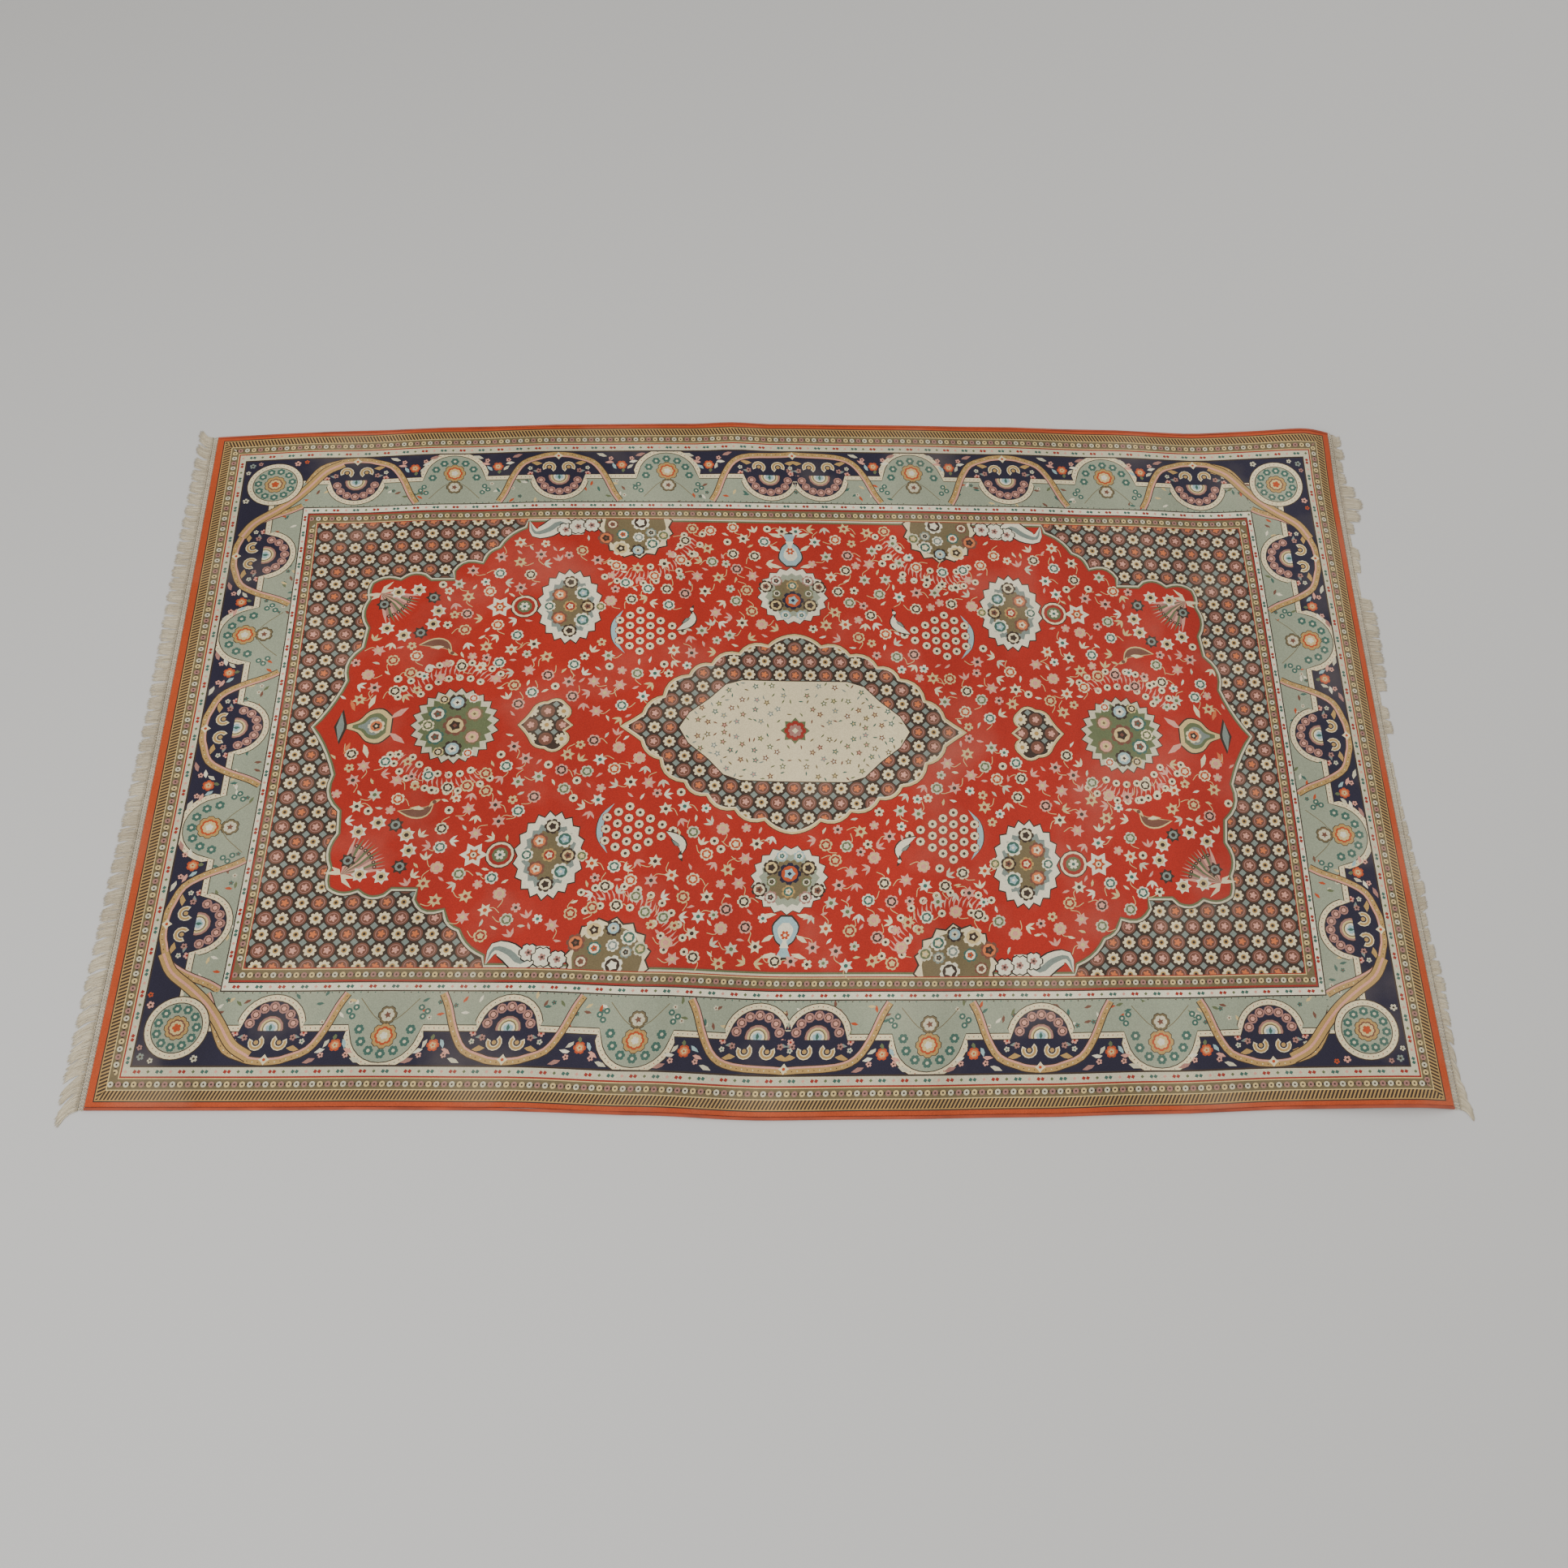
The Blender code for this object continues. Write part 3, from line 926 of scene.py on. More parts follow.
FIELD_FIGURES = (
    # ("x", "y", "radius") of the round places that the field's large figures take
    (0.565, 0.000, 0.088),
    (0.680, 0.000, 0.050),
    (0.745, 0.000, 0.040),
    (0.659, 0.226, 0.066),
    (0.700, 0.258, 0.030),
    (0.600, 0.155, 0.030),
    (0.388, 0.200, 0.062),
    (0.388, 0.270, 0.062),
    (0.466, 0.235, 0.026),
    (0.508, 0.235, 0.024),
    (0.270, 0.187, 0.056),
    (0.215, 0.187, 0.030),
    (0.184, 0.225, 0.030),
    (0.000, 0.264, 0.070),
    (0.000, 0.352, 0.036),
    (0.275, 0.404, 0.080),
    (0.400, 0.405, 0.045),
    (0.440, 0.405, 0.034),
    (0.413, 0.000, 0.058),
)


def free_ground(field, medallion):
    """Tells whether a small figure of a radius may stand at a place of the red field's first quarter."""

    def free(place, radius):
        if place.real < radius or place.imag < radius or place.imag > FIELD_Y - radius:
            return False
        for x, y, taken in FIELD_FIGURES:
            if abs(place - complex(x, y)) < taken + 0.5 * radius:
                return False
        for angle in np.arange(0, math.tau, math.tau / 6):
            edge = place + (radius + 0.006) * np.exp(1j * angle)
            if not contains(field, edge) or contains(medallion, edge):
                return False
        return True

    return free


def strewn(rng, free, figures, tries):
    """Places for small figures of falling radius that keep clear of each other: (place, radius)."""
    found = []
    for radius, spacing in figures:
        for _ in range(tries):
            place = complex(rng.uniform(0, FIELD_X), rng.uniform(0, FIELD_Y))
            if any(abs(place - other) < (radius + taken) * spacing for other, taken in found):
                continue
            if free(place, radius):
                found.append((place, radius))
    return found


def small_figures(pen, found, rng):
    """On each strewn place a flower on a curling stalk, a posy, an eye, three leaves or one leaf."""
    for place, radius in found:
        spot = pen.at(place, rng.uniform(0, math.tau))
        petal, heart = rng.choice(FLOWER_SILKS)
        kind = rng.random()
        if radius > 0.010:
            stalk = smooth([0, complex(radius, 0.4 * radius), complex(1.9 * radius, -0.3 * radius)], 3)
            spot.fill(band(stalk, 0.0012), "straw")
            if kind < 0.5:
                star_flower(spot, radius, petal, heart)
            else:
                rosette(spot, 0.92 * radius, (petal, heart, petal), 6)
        elif radius > 0.0060:
            if kind < 0.45:
                posy(spot, radius, petal, heart, 5)
            elif kind < 0.55:
                eye(spot, 0.9 * radius)
            else:
                for turn in (-0.7, 0.0, 0.7):
                    spot.at(-0.8 * radius, turn).fill(leaf(1.9 * radius, 0.62 * radius), petal)
        else:
            spot.at(-radius).fill(leaf(2.3 * radius, 0.95 * radius, rng.uniform(-0.4, 0.4)), petal)


def in_quarters(pen):
    """Four pens from the rug's middle, one for each quarter."""
    return [pen.at(0), pen.at(0, math.pi), pen.at(0, mirrored=True), pen.at(0, math.pi, mirrored=True)]


def red_field(pen, rng):
    """The field: lattice spandrels, the red ground, its figures, the pendants and the medallion."""
    field = all_round(scalloped(FIELD_SCALLOPS))
    medallion = all_round(scalloped(MEDALLION_SCALLOPS))
    quarters = in_quarters(pen)

    ground = pen.fill(rectangle(FIELD_X, FIELD_Y), "lattice")
    edging = ((-0.0016, "umber"), (0.0, "bone"), (0.0034, "moss"), (0.0066, "brick"), (0.0086, "red"))
    edged(pen.inside(ground), field, edging)

    for quarter in quarters[:2]:
        side_bouquet(quarter)
    for quarter in quarters:
        plume = quarter.at(0.565 + 0.018j)
        eyed_plume(plume, (0.0745, 0.1050), ((0.60, 2.05, 7), (0.36, 2.26, 12)), 20)
        large_bouquet(quarter)
        fan_and_wreath(quarter)
        honeycomb(quarter)
        edge = quarter.inside(ground)
        edge_bouquet(edge)
        cloud(edge)
        bird(quarter.at(0.600 + 0.155j, math.radians(200)), 0.9, "brown", "cream", "straw")
        bird(quarter.at(0.182 + 0.212j, math.radians(118), mirrored=True), 0.8, "ivory", "mist", "umber")
    for quarter in (quarters[0], quarters[2]):
        vase_palmette(quarter)

    free = free_ground(field, medallion)
    sizes = ((0.0120, 1.20), (0.0082, 1.05), (0.0055, 1.12))
    found = strewn(rng, free, sizes, 2200)
    for quarter in quarters:
        small_figures(quarter, found, rng)

    for side in (1, -1):
        pendant(pen.at(side * PENDANT_X, mirrored=side < 0, angle=0 if side > 0 else math.pi))
    edging = ((-0.0034, "umber"), (-0.0022, "straw"), (0.0016, "cream"), (0.0040, "lattice"))
    edged(pen, medallion, edging)
    cream_middle(pen, rng)


def inset(outline, distance):
    """A closed outline drawn inwards by a distance."""
    ahead = np.roll(outline, -1) - np.roll(outline, 1)
    return outline + 1j * ahead / np.abs(ahead) * distance


def edged(pen, outline, edging):
    """Fills the outline in several silks, each drawn inwards by its own distance. Returns the last shape."""
    for distance, silk in edging:
        shape = pen.fill(inset(outline, distance), silk)
    return shape


def pendant(pen):
    """The small lattice shape on the long axis, between the medallion and the round bouquet."""
    outline = all_round_half(scalloped(PENDANT_SCALLOPS))
    edging = ((-0.0030, "umber"), (-0.0018, "straw"), (0.0014, "cream"), (0.0030, "umber"))
    inner = pen.inside(edged(pen, outline, edging))
    for row in (-1, 0, 1):
        for column in (-2, -1, 0, 1):
            cell = inner.at(complex(0.002 + 0.0262 * column, 0.0262 * row))
            if (row + column) % 2 == 0:
                cell.fill(blossom(0.0112, 8, 0.68), "cream")
                cell.fill(ring(0.0042, 6), "gold")
            else:
                cell.fill(ring(0.0120, 10), "brown")
                cell.fill(blossom(0.0062, 5), "pink")
            inner.at(complex(0.0151 + 0.0262 * column, 0.0131 + 0.0262 * row)).fill(ring(0.0058, 4), "mist")


def all_round_half(half):
    """A closed outline from the line of its upper half, which starts and ends on its own long axis."""
    return np.concatenate([half, half.conj()[-2:0:-1]])


def cream_middle(pen, rng):
    """The medallion's cream ground with strewn small stars and leaves, and the rosette at its heart."""
    quarter = np.array([complex(x, y) for x, y in CREAM_GROUND])
    outline = all_round(quarter)
    pen.fill(inset(outline, -0.0018), "umber")
    ground = pen.fill(outline, "cream")
    quarters = in_quarters(pen)

    def free(place, radius):
        reach = (place + radius, place + 1j * radius)
        return abs(place) > HEART_ROOM + radius and all(contains(outline, far) for far in reach)

    found = strewn(rng, free, ((0.0066, 1.15), (0.0040, 0.95)), 2200)
    found = [(place, radius) for place, radius in found if place.real > radius and place.imag > radius]
    for quarter in quarters:
        inner = quarter.inside(ground)
        for place, radius in found:
            spot = inner.at(place, rng.uniform(0, math.tau))
            silk = rng.choice(("moss", "teal", "olive", "brown", "mist"))
            if radius > 0.006:
                spot.fill(spikes(radius, 5, 0.45), silk)
                spot.fill(ring(0.35 * radius, 4), rng.choice(("pink", "straw", "ivory")))
            else:
                spot.at(-radius).fill(leaf(2.3 * radius, 0.8 * radius, rng.uniform(-0.4, 0.4)), silk)
    heart = pen.at(0)
    heart.fill(spikes(0.0250, 8, 0.72), "moss")
    heart.fill(blossom(0.0185, 8, 0.82), "brick")
    heart.fill(blossom(0.0120, 8, 0.80), "rose")
    heart.fill(spikes(0.0060, 4, 0.6), "cream")


def draw_rug():
    """The whole figure."""
    plan = Plan()
    pen = Pen(plan)
    for half_length, half_width, silk in GROUNDS:
        pen.fill(rectangle(half_length, half_width), silk)
    main_ground = len(plan.outlines)
    rng = random.Random(7)
    main_border(pen.inside(main_ground - 1), rng)
    for half_length, half_width, silk in INNER_GROUNDS:
        pen.fill(rectangle(half_length, half_width), silk)
    guard_marks(pen)
    red_field(pen, rng)
    return plan


# The rug's mesh.

GRID_PITCH = 0.040
BACK_GRID_PITCH = 0.060
LONGEST_LINE = 0.035
EDGE_INSET = 0.0016
EDGE_DROP = 0.0012


def linear(silk):
    """A silk's colour in linear light."""
    shares = np.array(SILKS[PATTERNED.get(silk, silk)]) / 255
    return np.where(shares <= 0.04045, shares / 12.92, ((shares + 0.055) / 1.055) ** 2.4)


def rim(half_length, half_width):
    """A rectangle's outline with a point at every step of the grid."""
    corners = rectangle(half_length, half_width)
    points = []
    for start, end in zip(corners, np.roll(corners, -1)):
        count = round(abs(end - start) / GRID_PITCH)
        points.extend(start + (end - start) * np.arange(count) / count)
    return np.array(points)


def covers(outline, places):
    """Which of the places are inside the outline, by counting the edges that each looks across."""
    after = np.roll(outline, -1)
    low_high = (outline.imag[:, None] > places.imag) != (after.imag[:, None] > places.imag)
    rise_y = np.where(after.imag == outline.imag, 1.0, after.imag - outline.imag)
    slope = (after.real - outline.real) / rise_y
    at_x = outline.real[:, None] + slope[:, None] * (places.imag - outline.imag[:, None])
    return np.count_nonzero(low_high & (at_x > places.real), axis=0) % 2 == 1


def topmost(shapes, limits, middles):
    """For each triangle's middle, the last shape that covers it inside its limit."""
    order = np.argsort(middles.real)
    sorted_middles = middles[order]
    chosen = np.zeros(len(middles), np.int32)
    limit_cover = {}
    for number, shape in enumerate(shapes):
        start, stop = np.searchsorted(sorted_middles.real, (shape.real.min(), shape.real.max()))
        near = order[start:stop]
        y = middles.imag[near]
        near = near[(y > shape.imag.min()) & (y < shape.imag.max())]
        covered = near[covers(shape, middles[near])]
        if limits[number] is not None:
            covered = covered[limit_cover[limits[number]][covered]]
        chosen[covered] = number
        if number in limits:
            limit_cover[number] = np.zeros(len(middles), bool)
            limit_cover[number][covered] = True
    return chosen


def finer(outline, step):
    """The closed outline with no edge longer than the step, so that it can follow the laid rug."""
    places = []
    for here, after in zip(outline, np.roll(outline, -1)):
        count = max(1, math.ceil(abs(after - here) / step))
        places.extend(here + (after - here) * k / count for k in range(count))
    return places


def triangles_between(points, lines):
    """The triangles that these lines cut the plan into, and the points that they use."""
    places = [Vector((z.real, z.imag)) for z in points]
    places, _, triangles, _, _, _ = delaunay_2d_cdt(places, lines, [], 0, 1e-5, False)
    return np.array([complex(*place) for place in places]), np.array(triangles)


def seen_lines(triangles, silks):
    """The triangle edges with a different silk on each side: a line under another shape isn't kept."""
    ends = np.concatenate([triangles[:, [0, 1]], triangles[:, [1, 2]], triangles[:, [2, 0]]])
    ends = np.sort(ends, axis=1)
    owners = np.tile(silks, 3)
    order = np.lexsort((ends[:, 1], ends[:, 0]))
    ends, owners = ends[order], owners[order]
    same = (ends[1:] == ends[:-1]).all(axis=1)
    return ends[:-1][same & (owners[1:] != owners[:-1])]


def add_loops(points, lines, shapes):
    """Adds closed outlines to the points, and to the lines between them."""
    for shape in shapes:
        numbers = list(range(len(points), len(points) + len(shape)))
        lines.extend(zip(numbers, numbers[1:] + numbers[:1]))
        points.extend(shape)


def triangulated(plan, grid_pitch):
    """Plan points, triangles, the silk on each triangle, and the rug's edge.

    The first pass finds which lines are seen, and the second triangulates those alone.
    """
    edge = rim(HALF_LENGTH, BODY_HALF_WIDTH)
    inner_edge = rim(HALF_LENGTH - EDGE_INSET, BODY_HALF_WIDTH - EDGE_INSET)
    outlines = [finer(outline, LONGEST_LINE) for outline in plan.outlines]
    points = []
    lines = []
    add_loops(points, lines, [edge, inner_edge] + outlines)
    points, triangles = triangles_between(points, lines)
    silk_numbers = {silk: number for number, silk in enumerate(sorted(set(plan.silks)))}
    silks = np.array([silk_numbers[silk] for silk in plan.silks])
    chosen = topmost(plan.outlines, plan.limits, points[triangles].mean(axis=1))

    seen = seen_lines(triangles, silks[chosen])
    used, seen = np.unique(seen, return_inverse=True)
    points = points[used].tolist()
    lines = seen.reshape(-1, 2).tolist()
    add_loops(points, lines, [edge, inner_edge])
    for x in np.arange(-HALF_LENGTH + grid_pitch, HALF_LENGTH - 0.5 * grid_pitch, grid_pitch):
        for y in np.arange(-BODY_HALF_WIDTH + grid_pitch, BODY_HALF_WIDTH - 0.5 * grid_pitch, grid_pitch):
            points.append(complex(x, y))
    points, triangles = triangles_between(points, lines)
    chosen = topmost(plan.outlines, plan.limits, points[triangles].mean(axis=1))
    return points, triangles, [plan.silks[number] for number in chosen], edge


def plain_plan():
    """The straight grounds alone, with a red field, for the underside."""
    plan = Plan()
    pen = Pen(plan)
    for half_length, half_width, silk in GROUNDS + INNER_GROUNDS:
        pen.fill(rectangle(half_length, half_width), silk)
    pen.fill(all_round(scalloped(FIELD_SCALLOPS)), "red")
    return plan


def repeat_place(silk, z, middle):
    """Where a corner of a patterned ground lies in the ground's small repeat."""
    if silk == "lattice":
        return z.real / LATTICE_PITCH + 0.5, z.imag / LATTICE_PITCH + 0.5, 0.0
    lines, pitch = (TICK_LINES, TICK_PITCH) if silk == "ticks" else (DOT_LINES, DOT_PITCH)
    for half_length, half_width in lines:
        if abs(abs(middle.imag) - half_width) < GUARD_REACH:
            return z.real / pitch, (abs(z.imag) - half_width) / pitch, 0.0
        if abs(abs(middle.real) - half_length) < GUARD_REACH:
            return z.imag / pitch, (abs(z.real) - half_length) / pitch, 0.0
    return 0.0, 0.0, 0.0


def make_rug(plan):
    """The closed mesh of the pile: the figured top, a plain striped underside and the sides."""
    top, top_faces, top_silks, edge = triangulated(plan, GRID_PITCH)
    low, low_faces, low_silks, _ = triangulated(plain_plan(), BACK_GRID_PITCH)
    places = []
    for z in top:
        x, y = laid(z.real, z.imag)
        from_edge = min(HALF_LENGTH - abs(z.real), BODY_HALF_WIDTH - abs(z.imag))
        drop = EDGE_DROP * (1 - ease(from_edge / EDGE_INSET))
        places.append((x, y, rise(z.real, z.imag) + PILE_THICKNESS - drop))
    for z in low:
        x, y = laid(z.real, z.imag)
        places.append((x, y, rise(z.real, z.imag)))
    start = len(top)
    faces = top_faces.tolist() + (start + low_faces[:, ::-1]).tolist()

    def key(z):
        return round(z.real, 5), round(z.imag, 5)

    top_at = {key(z): i for i, z in enumerate(top)}
    low_at = {key(z): start + i for i, z in enumerate(low)}
    for here, there in zip(edge, np.roll(edge, -1)):
        faces.append((top_at[key(here)], low_at[key(here)], low_at[key(there)], top_at[key(there)]))
    mesh = bpy.data.meshes.new("rug_pile")
    mesh.from_pydata(places, [], faces)
    silks = top_silks + low_silks + ["rust"] * len(edge)
    paint = mesh.attributes.new("silk", "FLOAT_COLOR", "FACE")
    colours = np.array([[*linear(silk), 1.0] for silk in silks], np.float32)
    paint.data.foreach_set("color", colours.ravel())
    flat = mesh.attributes.new("plan", "FLOAT_VECTOR", "POINT")
    both = np.concatenate([top, low])
    plan_places = np.stack([both.real, both.imag, 0 * both.real], 1).astype(np.float32)
    flat.data.foreach_set("vector", plan_places.ravel())
    slots = np.zeros(len(faces), np.int32)
    repeats = np.zeros((len(mesh.loops), 3), np.float32)
    for i, (face, silk) in enumerate(zip(top_faces, top_silks)):
        if silk in PATTERNED:
            slots[i] = list(PATTERNED).index(silk) + 1
            middle = top[face].mean()
            for corner in range(3):
                repeats[3 * i + corner] = repeat_place(silk, top[face[corner]], middle)
    slots[len(top_faces) : len(top_faces) + len(low_faces)] = len(PATTERNED) + 1
    repeat = mesh.attributes.new("repeat", "FLOAT_VECTOR", "CORNER")
    repeat.data.foreach_set("vector", repeats.ravel())
    mesh.polygons.foreach_set("material_index", slots)
    mesh.shade_smooth()
    set_normals(mesh, both, len(top_faces), len(low_faces))
    bake_map(mesh, plan_places, len(top_faces), len(low_faces))
    rug = bpy.data.objects.new("rug_pile", mesh)
    bpy.context.scene.collection.objects.link(rug)
    print("rug triangles", sum(len(face) - 2 for face in faces))
    return rug


def upward(z):
    """The laid rug's upward normal at a place of the plan."""
    step = 0.002
    here = np.array([*laid(z.real, z.imag), rise(z.real, z.imag)])
    along = np.array([*laid(z.real + step, z.imag), rise(z.real + step, z.imag)]) - here
    across = np.array([*laid(z.real, z.imag + step), rise(z.real, z.imag + step)]) - here
    normal = np.cross(along, across)
    return normal / np.linalg.norm(normal)


def set_normals(mesh, both, top_count, low_count):
    """Normals from the laid surface itself, so that the outlines of the figure don't show in the light."""
    corners = np.empty(len(mesh.loops), np.int32)
    mesh.loops.foreach_get("vertex_index", corners)
    smooth_up = np.array([upward(z) for z in both])
    normals = smooth_up[corners]
    loops = 3 * top_count
    normals[loops : loops + 3 * low_count] *= -1
    wall = loops + 3 * low_count
    face_normals = np.array([polygon.normal for polygon in mesh.polygons[top_count + low_count :]])
    normals[wall:] = np.repeat(face_normals, 4, axis=0)
    mesh.normals_split_custom_set(normals.tolist())


def bake_map(mesh, plan_places, top_count, low_count):
    """A flat map of the plan: the top on one half, and the underside on the other."""
    layer = mesh.uv_layers.new(name="OFBake")
    corners = np.empty(len(mesh.loops), np.int32)
    mesh.loops.foreach_get("vertex_index", corners)
    spot = plan_places[corners][:, :2]
    u = 0.5 + spot[:, 0] / (RUG_LENGTH + 0.06)
    v = 0.25 + 0.5 * spot[:, 1] / (RUG_WIDTH + 0.06)
    loops = 3 * top_count
    v[loops : loops + 3 * low_count] += 0.5
    wall = slice(loops + 3 * low_count, None)
    outward = np.sign(spot[wall]) * (np.abs(spot[wall]) > [HALF_LENGTH - 0.001, BODY_HALF_WIDTH - 0.001])
    foot = corners[wall] >= corners[:loops].max() + 1
    u[wall] += 0.004 * outward[:, 0] * foot
    v[wall] += 0.003 * outward[:, 1] * foot
    layer.data.foreach_set("uv", np.stack([u, v], 1).astype(np.float32).ravel())


# Materials.


class Nodes:
    """Short calls for building a material's nodes."""

    def __init__(self, name):
        self.material = bpy.data.materials.new(name)
        self.material.use_nodes = True
        self.tree = self.material.node_tree
        self.shader = self.tree.nodes["Principled BSDF"]

    def set(self, socket, value):
        if isinstance(value, bpy.types.NodeSocket):
            self.tree.links.new(value, socket)
        else:
            socket.default_value = value

    def add(self, kind, inputs=(), **settings):
        node = self.tree.nodes.new(kind)
        for name, value in settings.items():
            setattr(node, name, value)
        for name, value in dict(inputs).items():
            self.set(node.inputs[name], value)
        return node

    def attribute(self, name, output="Vector"):
        return self.add("ShaderNodeAttribute", attribute_name=name).outputs[output]

    def math(self, operation, a, b=0.0):
        return self.add("ShaderNodeMath", {0: a, 1: b}, operation=operation).outputs[0]

    def length(self, x, y):
        """The distance of (x, y) from the middle."""
        return self.math("SQRT", self.math("ADD", self.math("MULTIPLY", x, x), self.math("MULTIPLY", y, y)))

    def vector(self, operation, a, b=(0, 0, 0)):
        return self.add("ShaderNodeVectorMath", {0: a, 1: b}, operation=operation).outputs[0]

    def noise(self, vector, scale, detail=2.0):
        inputs = {"Vector": vector, "Scale": scale, "Detail": detail}
        return self.add("ShaderNodeTexNoise", inputs).outputs["Fac"]

    def ranged(self, value, low, high, to_low, to_high):
        inputs = {"Value": value, "From Min": low, "From Max": high, "To Min": to_low, "To Max": to_high}
        return self.add("ShaderNodeMapRange", inputs).outputs["Result"]

    def mixed(self, share, a, b):
        node = self.add("ShaderNodeMix", data_type="RGBA")
        self.set(node.inputs[0], share)
        self.set(node.inputs[6], a)
        self.set(node.inputs[7], b)
        return node.outputs[2]

    def bump(self, height, distance, strength=1.0):
        inputs = {"Height": height, "Distance": distance, "Strength": strength}
        self.set(self.shader.inputs["Normal"], self.add("ShaderNodeBump", inputs).outputs["Normal"])


KNOT = 0.0011
UNDERSIDE_FADE = 0.35


def silk_colour(name):
    return (*linear(name), 1.0)


def dotted(nodes, ground):
    """Round flowers and small diamonds by turns along a guard."""
    place = nodes.add("ShaderNodeSeparateXYZ", {0: nodes.attribute("repeat")})
    along, across = place.outputs[0], place.outputs[1]
    number = nodes.math("FLOOR", along)
    flower = nodes.math("SUBTRACT", nodes.math("FRACT", along), 0.5)
    between = nodes.math("SUBTRACT", nodes.math("FRACT", nodes.math("ADD", along, 0.5)), 0.5)
    far = nodes.length(flower, across)
    diamond = nodes.math("ADD", nodes.math("ABSOLUTE", between), nodes.math("ABSOLUTE", across))
    odd = nodes.math("FLOORED_MODULO", number, 2.0)
    third = nodes.math("LESS_THAN", nodes.math("FLOORED_MODULO", number, 3.0), 0.5)
    petal = nodes.mixed(odd, silk_colour("straw"), silk_colour("bone"))
    petal = nodes.mixed(third, petal, silk_colour("rose"))
    colour = nodes.mixed(nodes.math("LESS_THAN", diamond, 0.20), ground, silk_colour("umber"))
    colour = nodes.mixed(nodes.math("LESS_THAN", far, 0.37), colour, petal)
    return nodes.mixed(nodes.math("LESS_THAN", far, 0.13), colour, silk_colour("umber"))


def ticked(nodes, ground):
    """Slanting gold ticks side by side along a guard."""
    place = nodes.add("ShaderNodeSeparateXYZ", {0: nodes.attribute("repeat")})
    slanted = nodes.math("ADD", place.outputs[0], nodes.math("MULTIPLY", place.outputs[1], 0.45))
    inside = nodes.math("LESS_THAN", nodes.math("FRACT", slanted), 0.46)
    return nodes.mixed(inside, ground, silk_colour("gold"))


def latticed(nodes, ground):
    """Cream rosettes and round brown panels by turns, with small grey diamonds between them."""
    place = nodes.add("ShaderNodeSeparateXYZ", {0: nodes.attribute("repeat")})
    x, y = place.outputs[0], place.outputs[1]
    cell_x = nodes.math("SUBTRACT", nodes.math("FRACT", x), 0.5)
    cell_y = nodes.math("SUBTRACT", nodes.math("FRACT", y), 0.5)
    far = nodes.length(cell_x, cell_y)
    angle = nodes.math("ARCTAN2", cell_y, cell_x)
    eight = nodes.math("ABSOLUTE", nodes.math("COSINE", nodes.math("MULTIPLY", angle, 4.0)))
    five = nodes.math("COSINE", nodes.math("MULTIPLY", angle, 5.0))
    rows = nodes.math("ADD", nodes.math("FLOOR", x), nodes.math("FLOOR", y))
    rosette_cell = nodes.math("FLOORED_MODULO", rows, 2.0)
    tone = nodes.math("FLOORED_MODULO", nodes.math("FLOOR", y), 2.0)
    corner_x = nodes.math("SUBTRACT", 0.5, nodes.math("ABSOLUTE", cell_x))
    corner_y = nodes.math("SUBTRACT", 0.5, nodes.math("ABSOLUTE", cell_y))
    diamond = nodes.math("LESS_THAN", nodes.math("ADD", corner_x, corner_y), 0.24)
    colour = nodes.mixed(diamond, ground, silk_colour("mist"))
    panel = nodes.mixed(nodes.math("LESS_THAN", far, 0.455), colour, silk_colour("brown"))
    ring_shown = nodes.math("LESS_THAN", nodes.math("ABSOLUTE", nodes.math("SUBTRACT", far, 0.33)), 0.022)
    panel = nodes.mixed(ring_shown, panel, silk_colour("rose"))
    star = nodes.math("LESS_THAN", far, nodes.math("ADD", nodes.math("MULTIPLY", five, 0.05), 0.18))
    panel = nodes.mixed(star, panel, nodes.mixed(tone, silk_colour("orange"), silk_colour("pink")))
    reach = nodes.math("ADD", nodes.math("MULTIPLY", eight, 0.12), 0.28)
    flower = nodes.mixed(nodes.math("LESS_THAN", far, reach), colour, silk_colour("cream"))
    flower = nodes.mixed(nodes.math("LESS_THAN", far, 0.17), flower, silk_colour("gold"))
    flower = nodes.mixed(nodes.math("LESS_THAN", far, 0.09), flower, silk_colour("umber"))
    return nodes.mixed(rosette_cell, panel, flower)


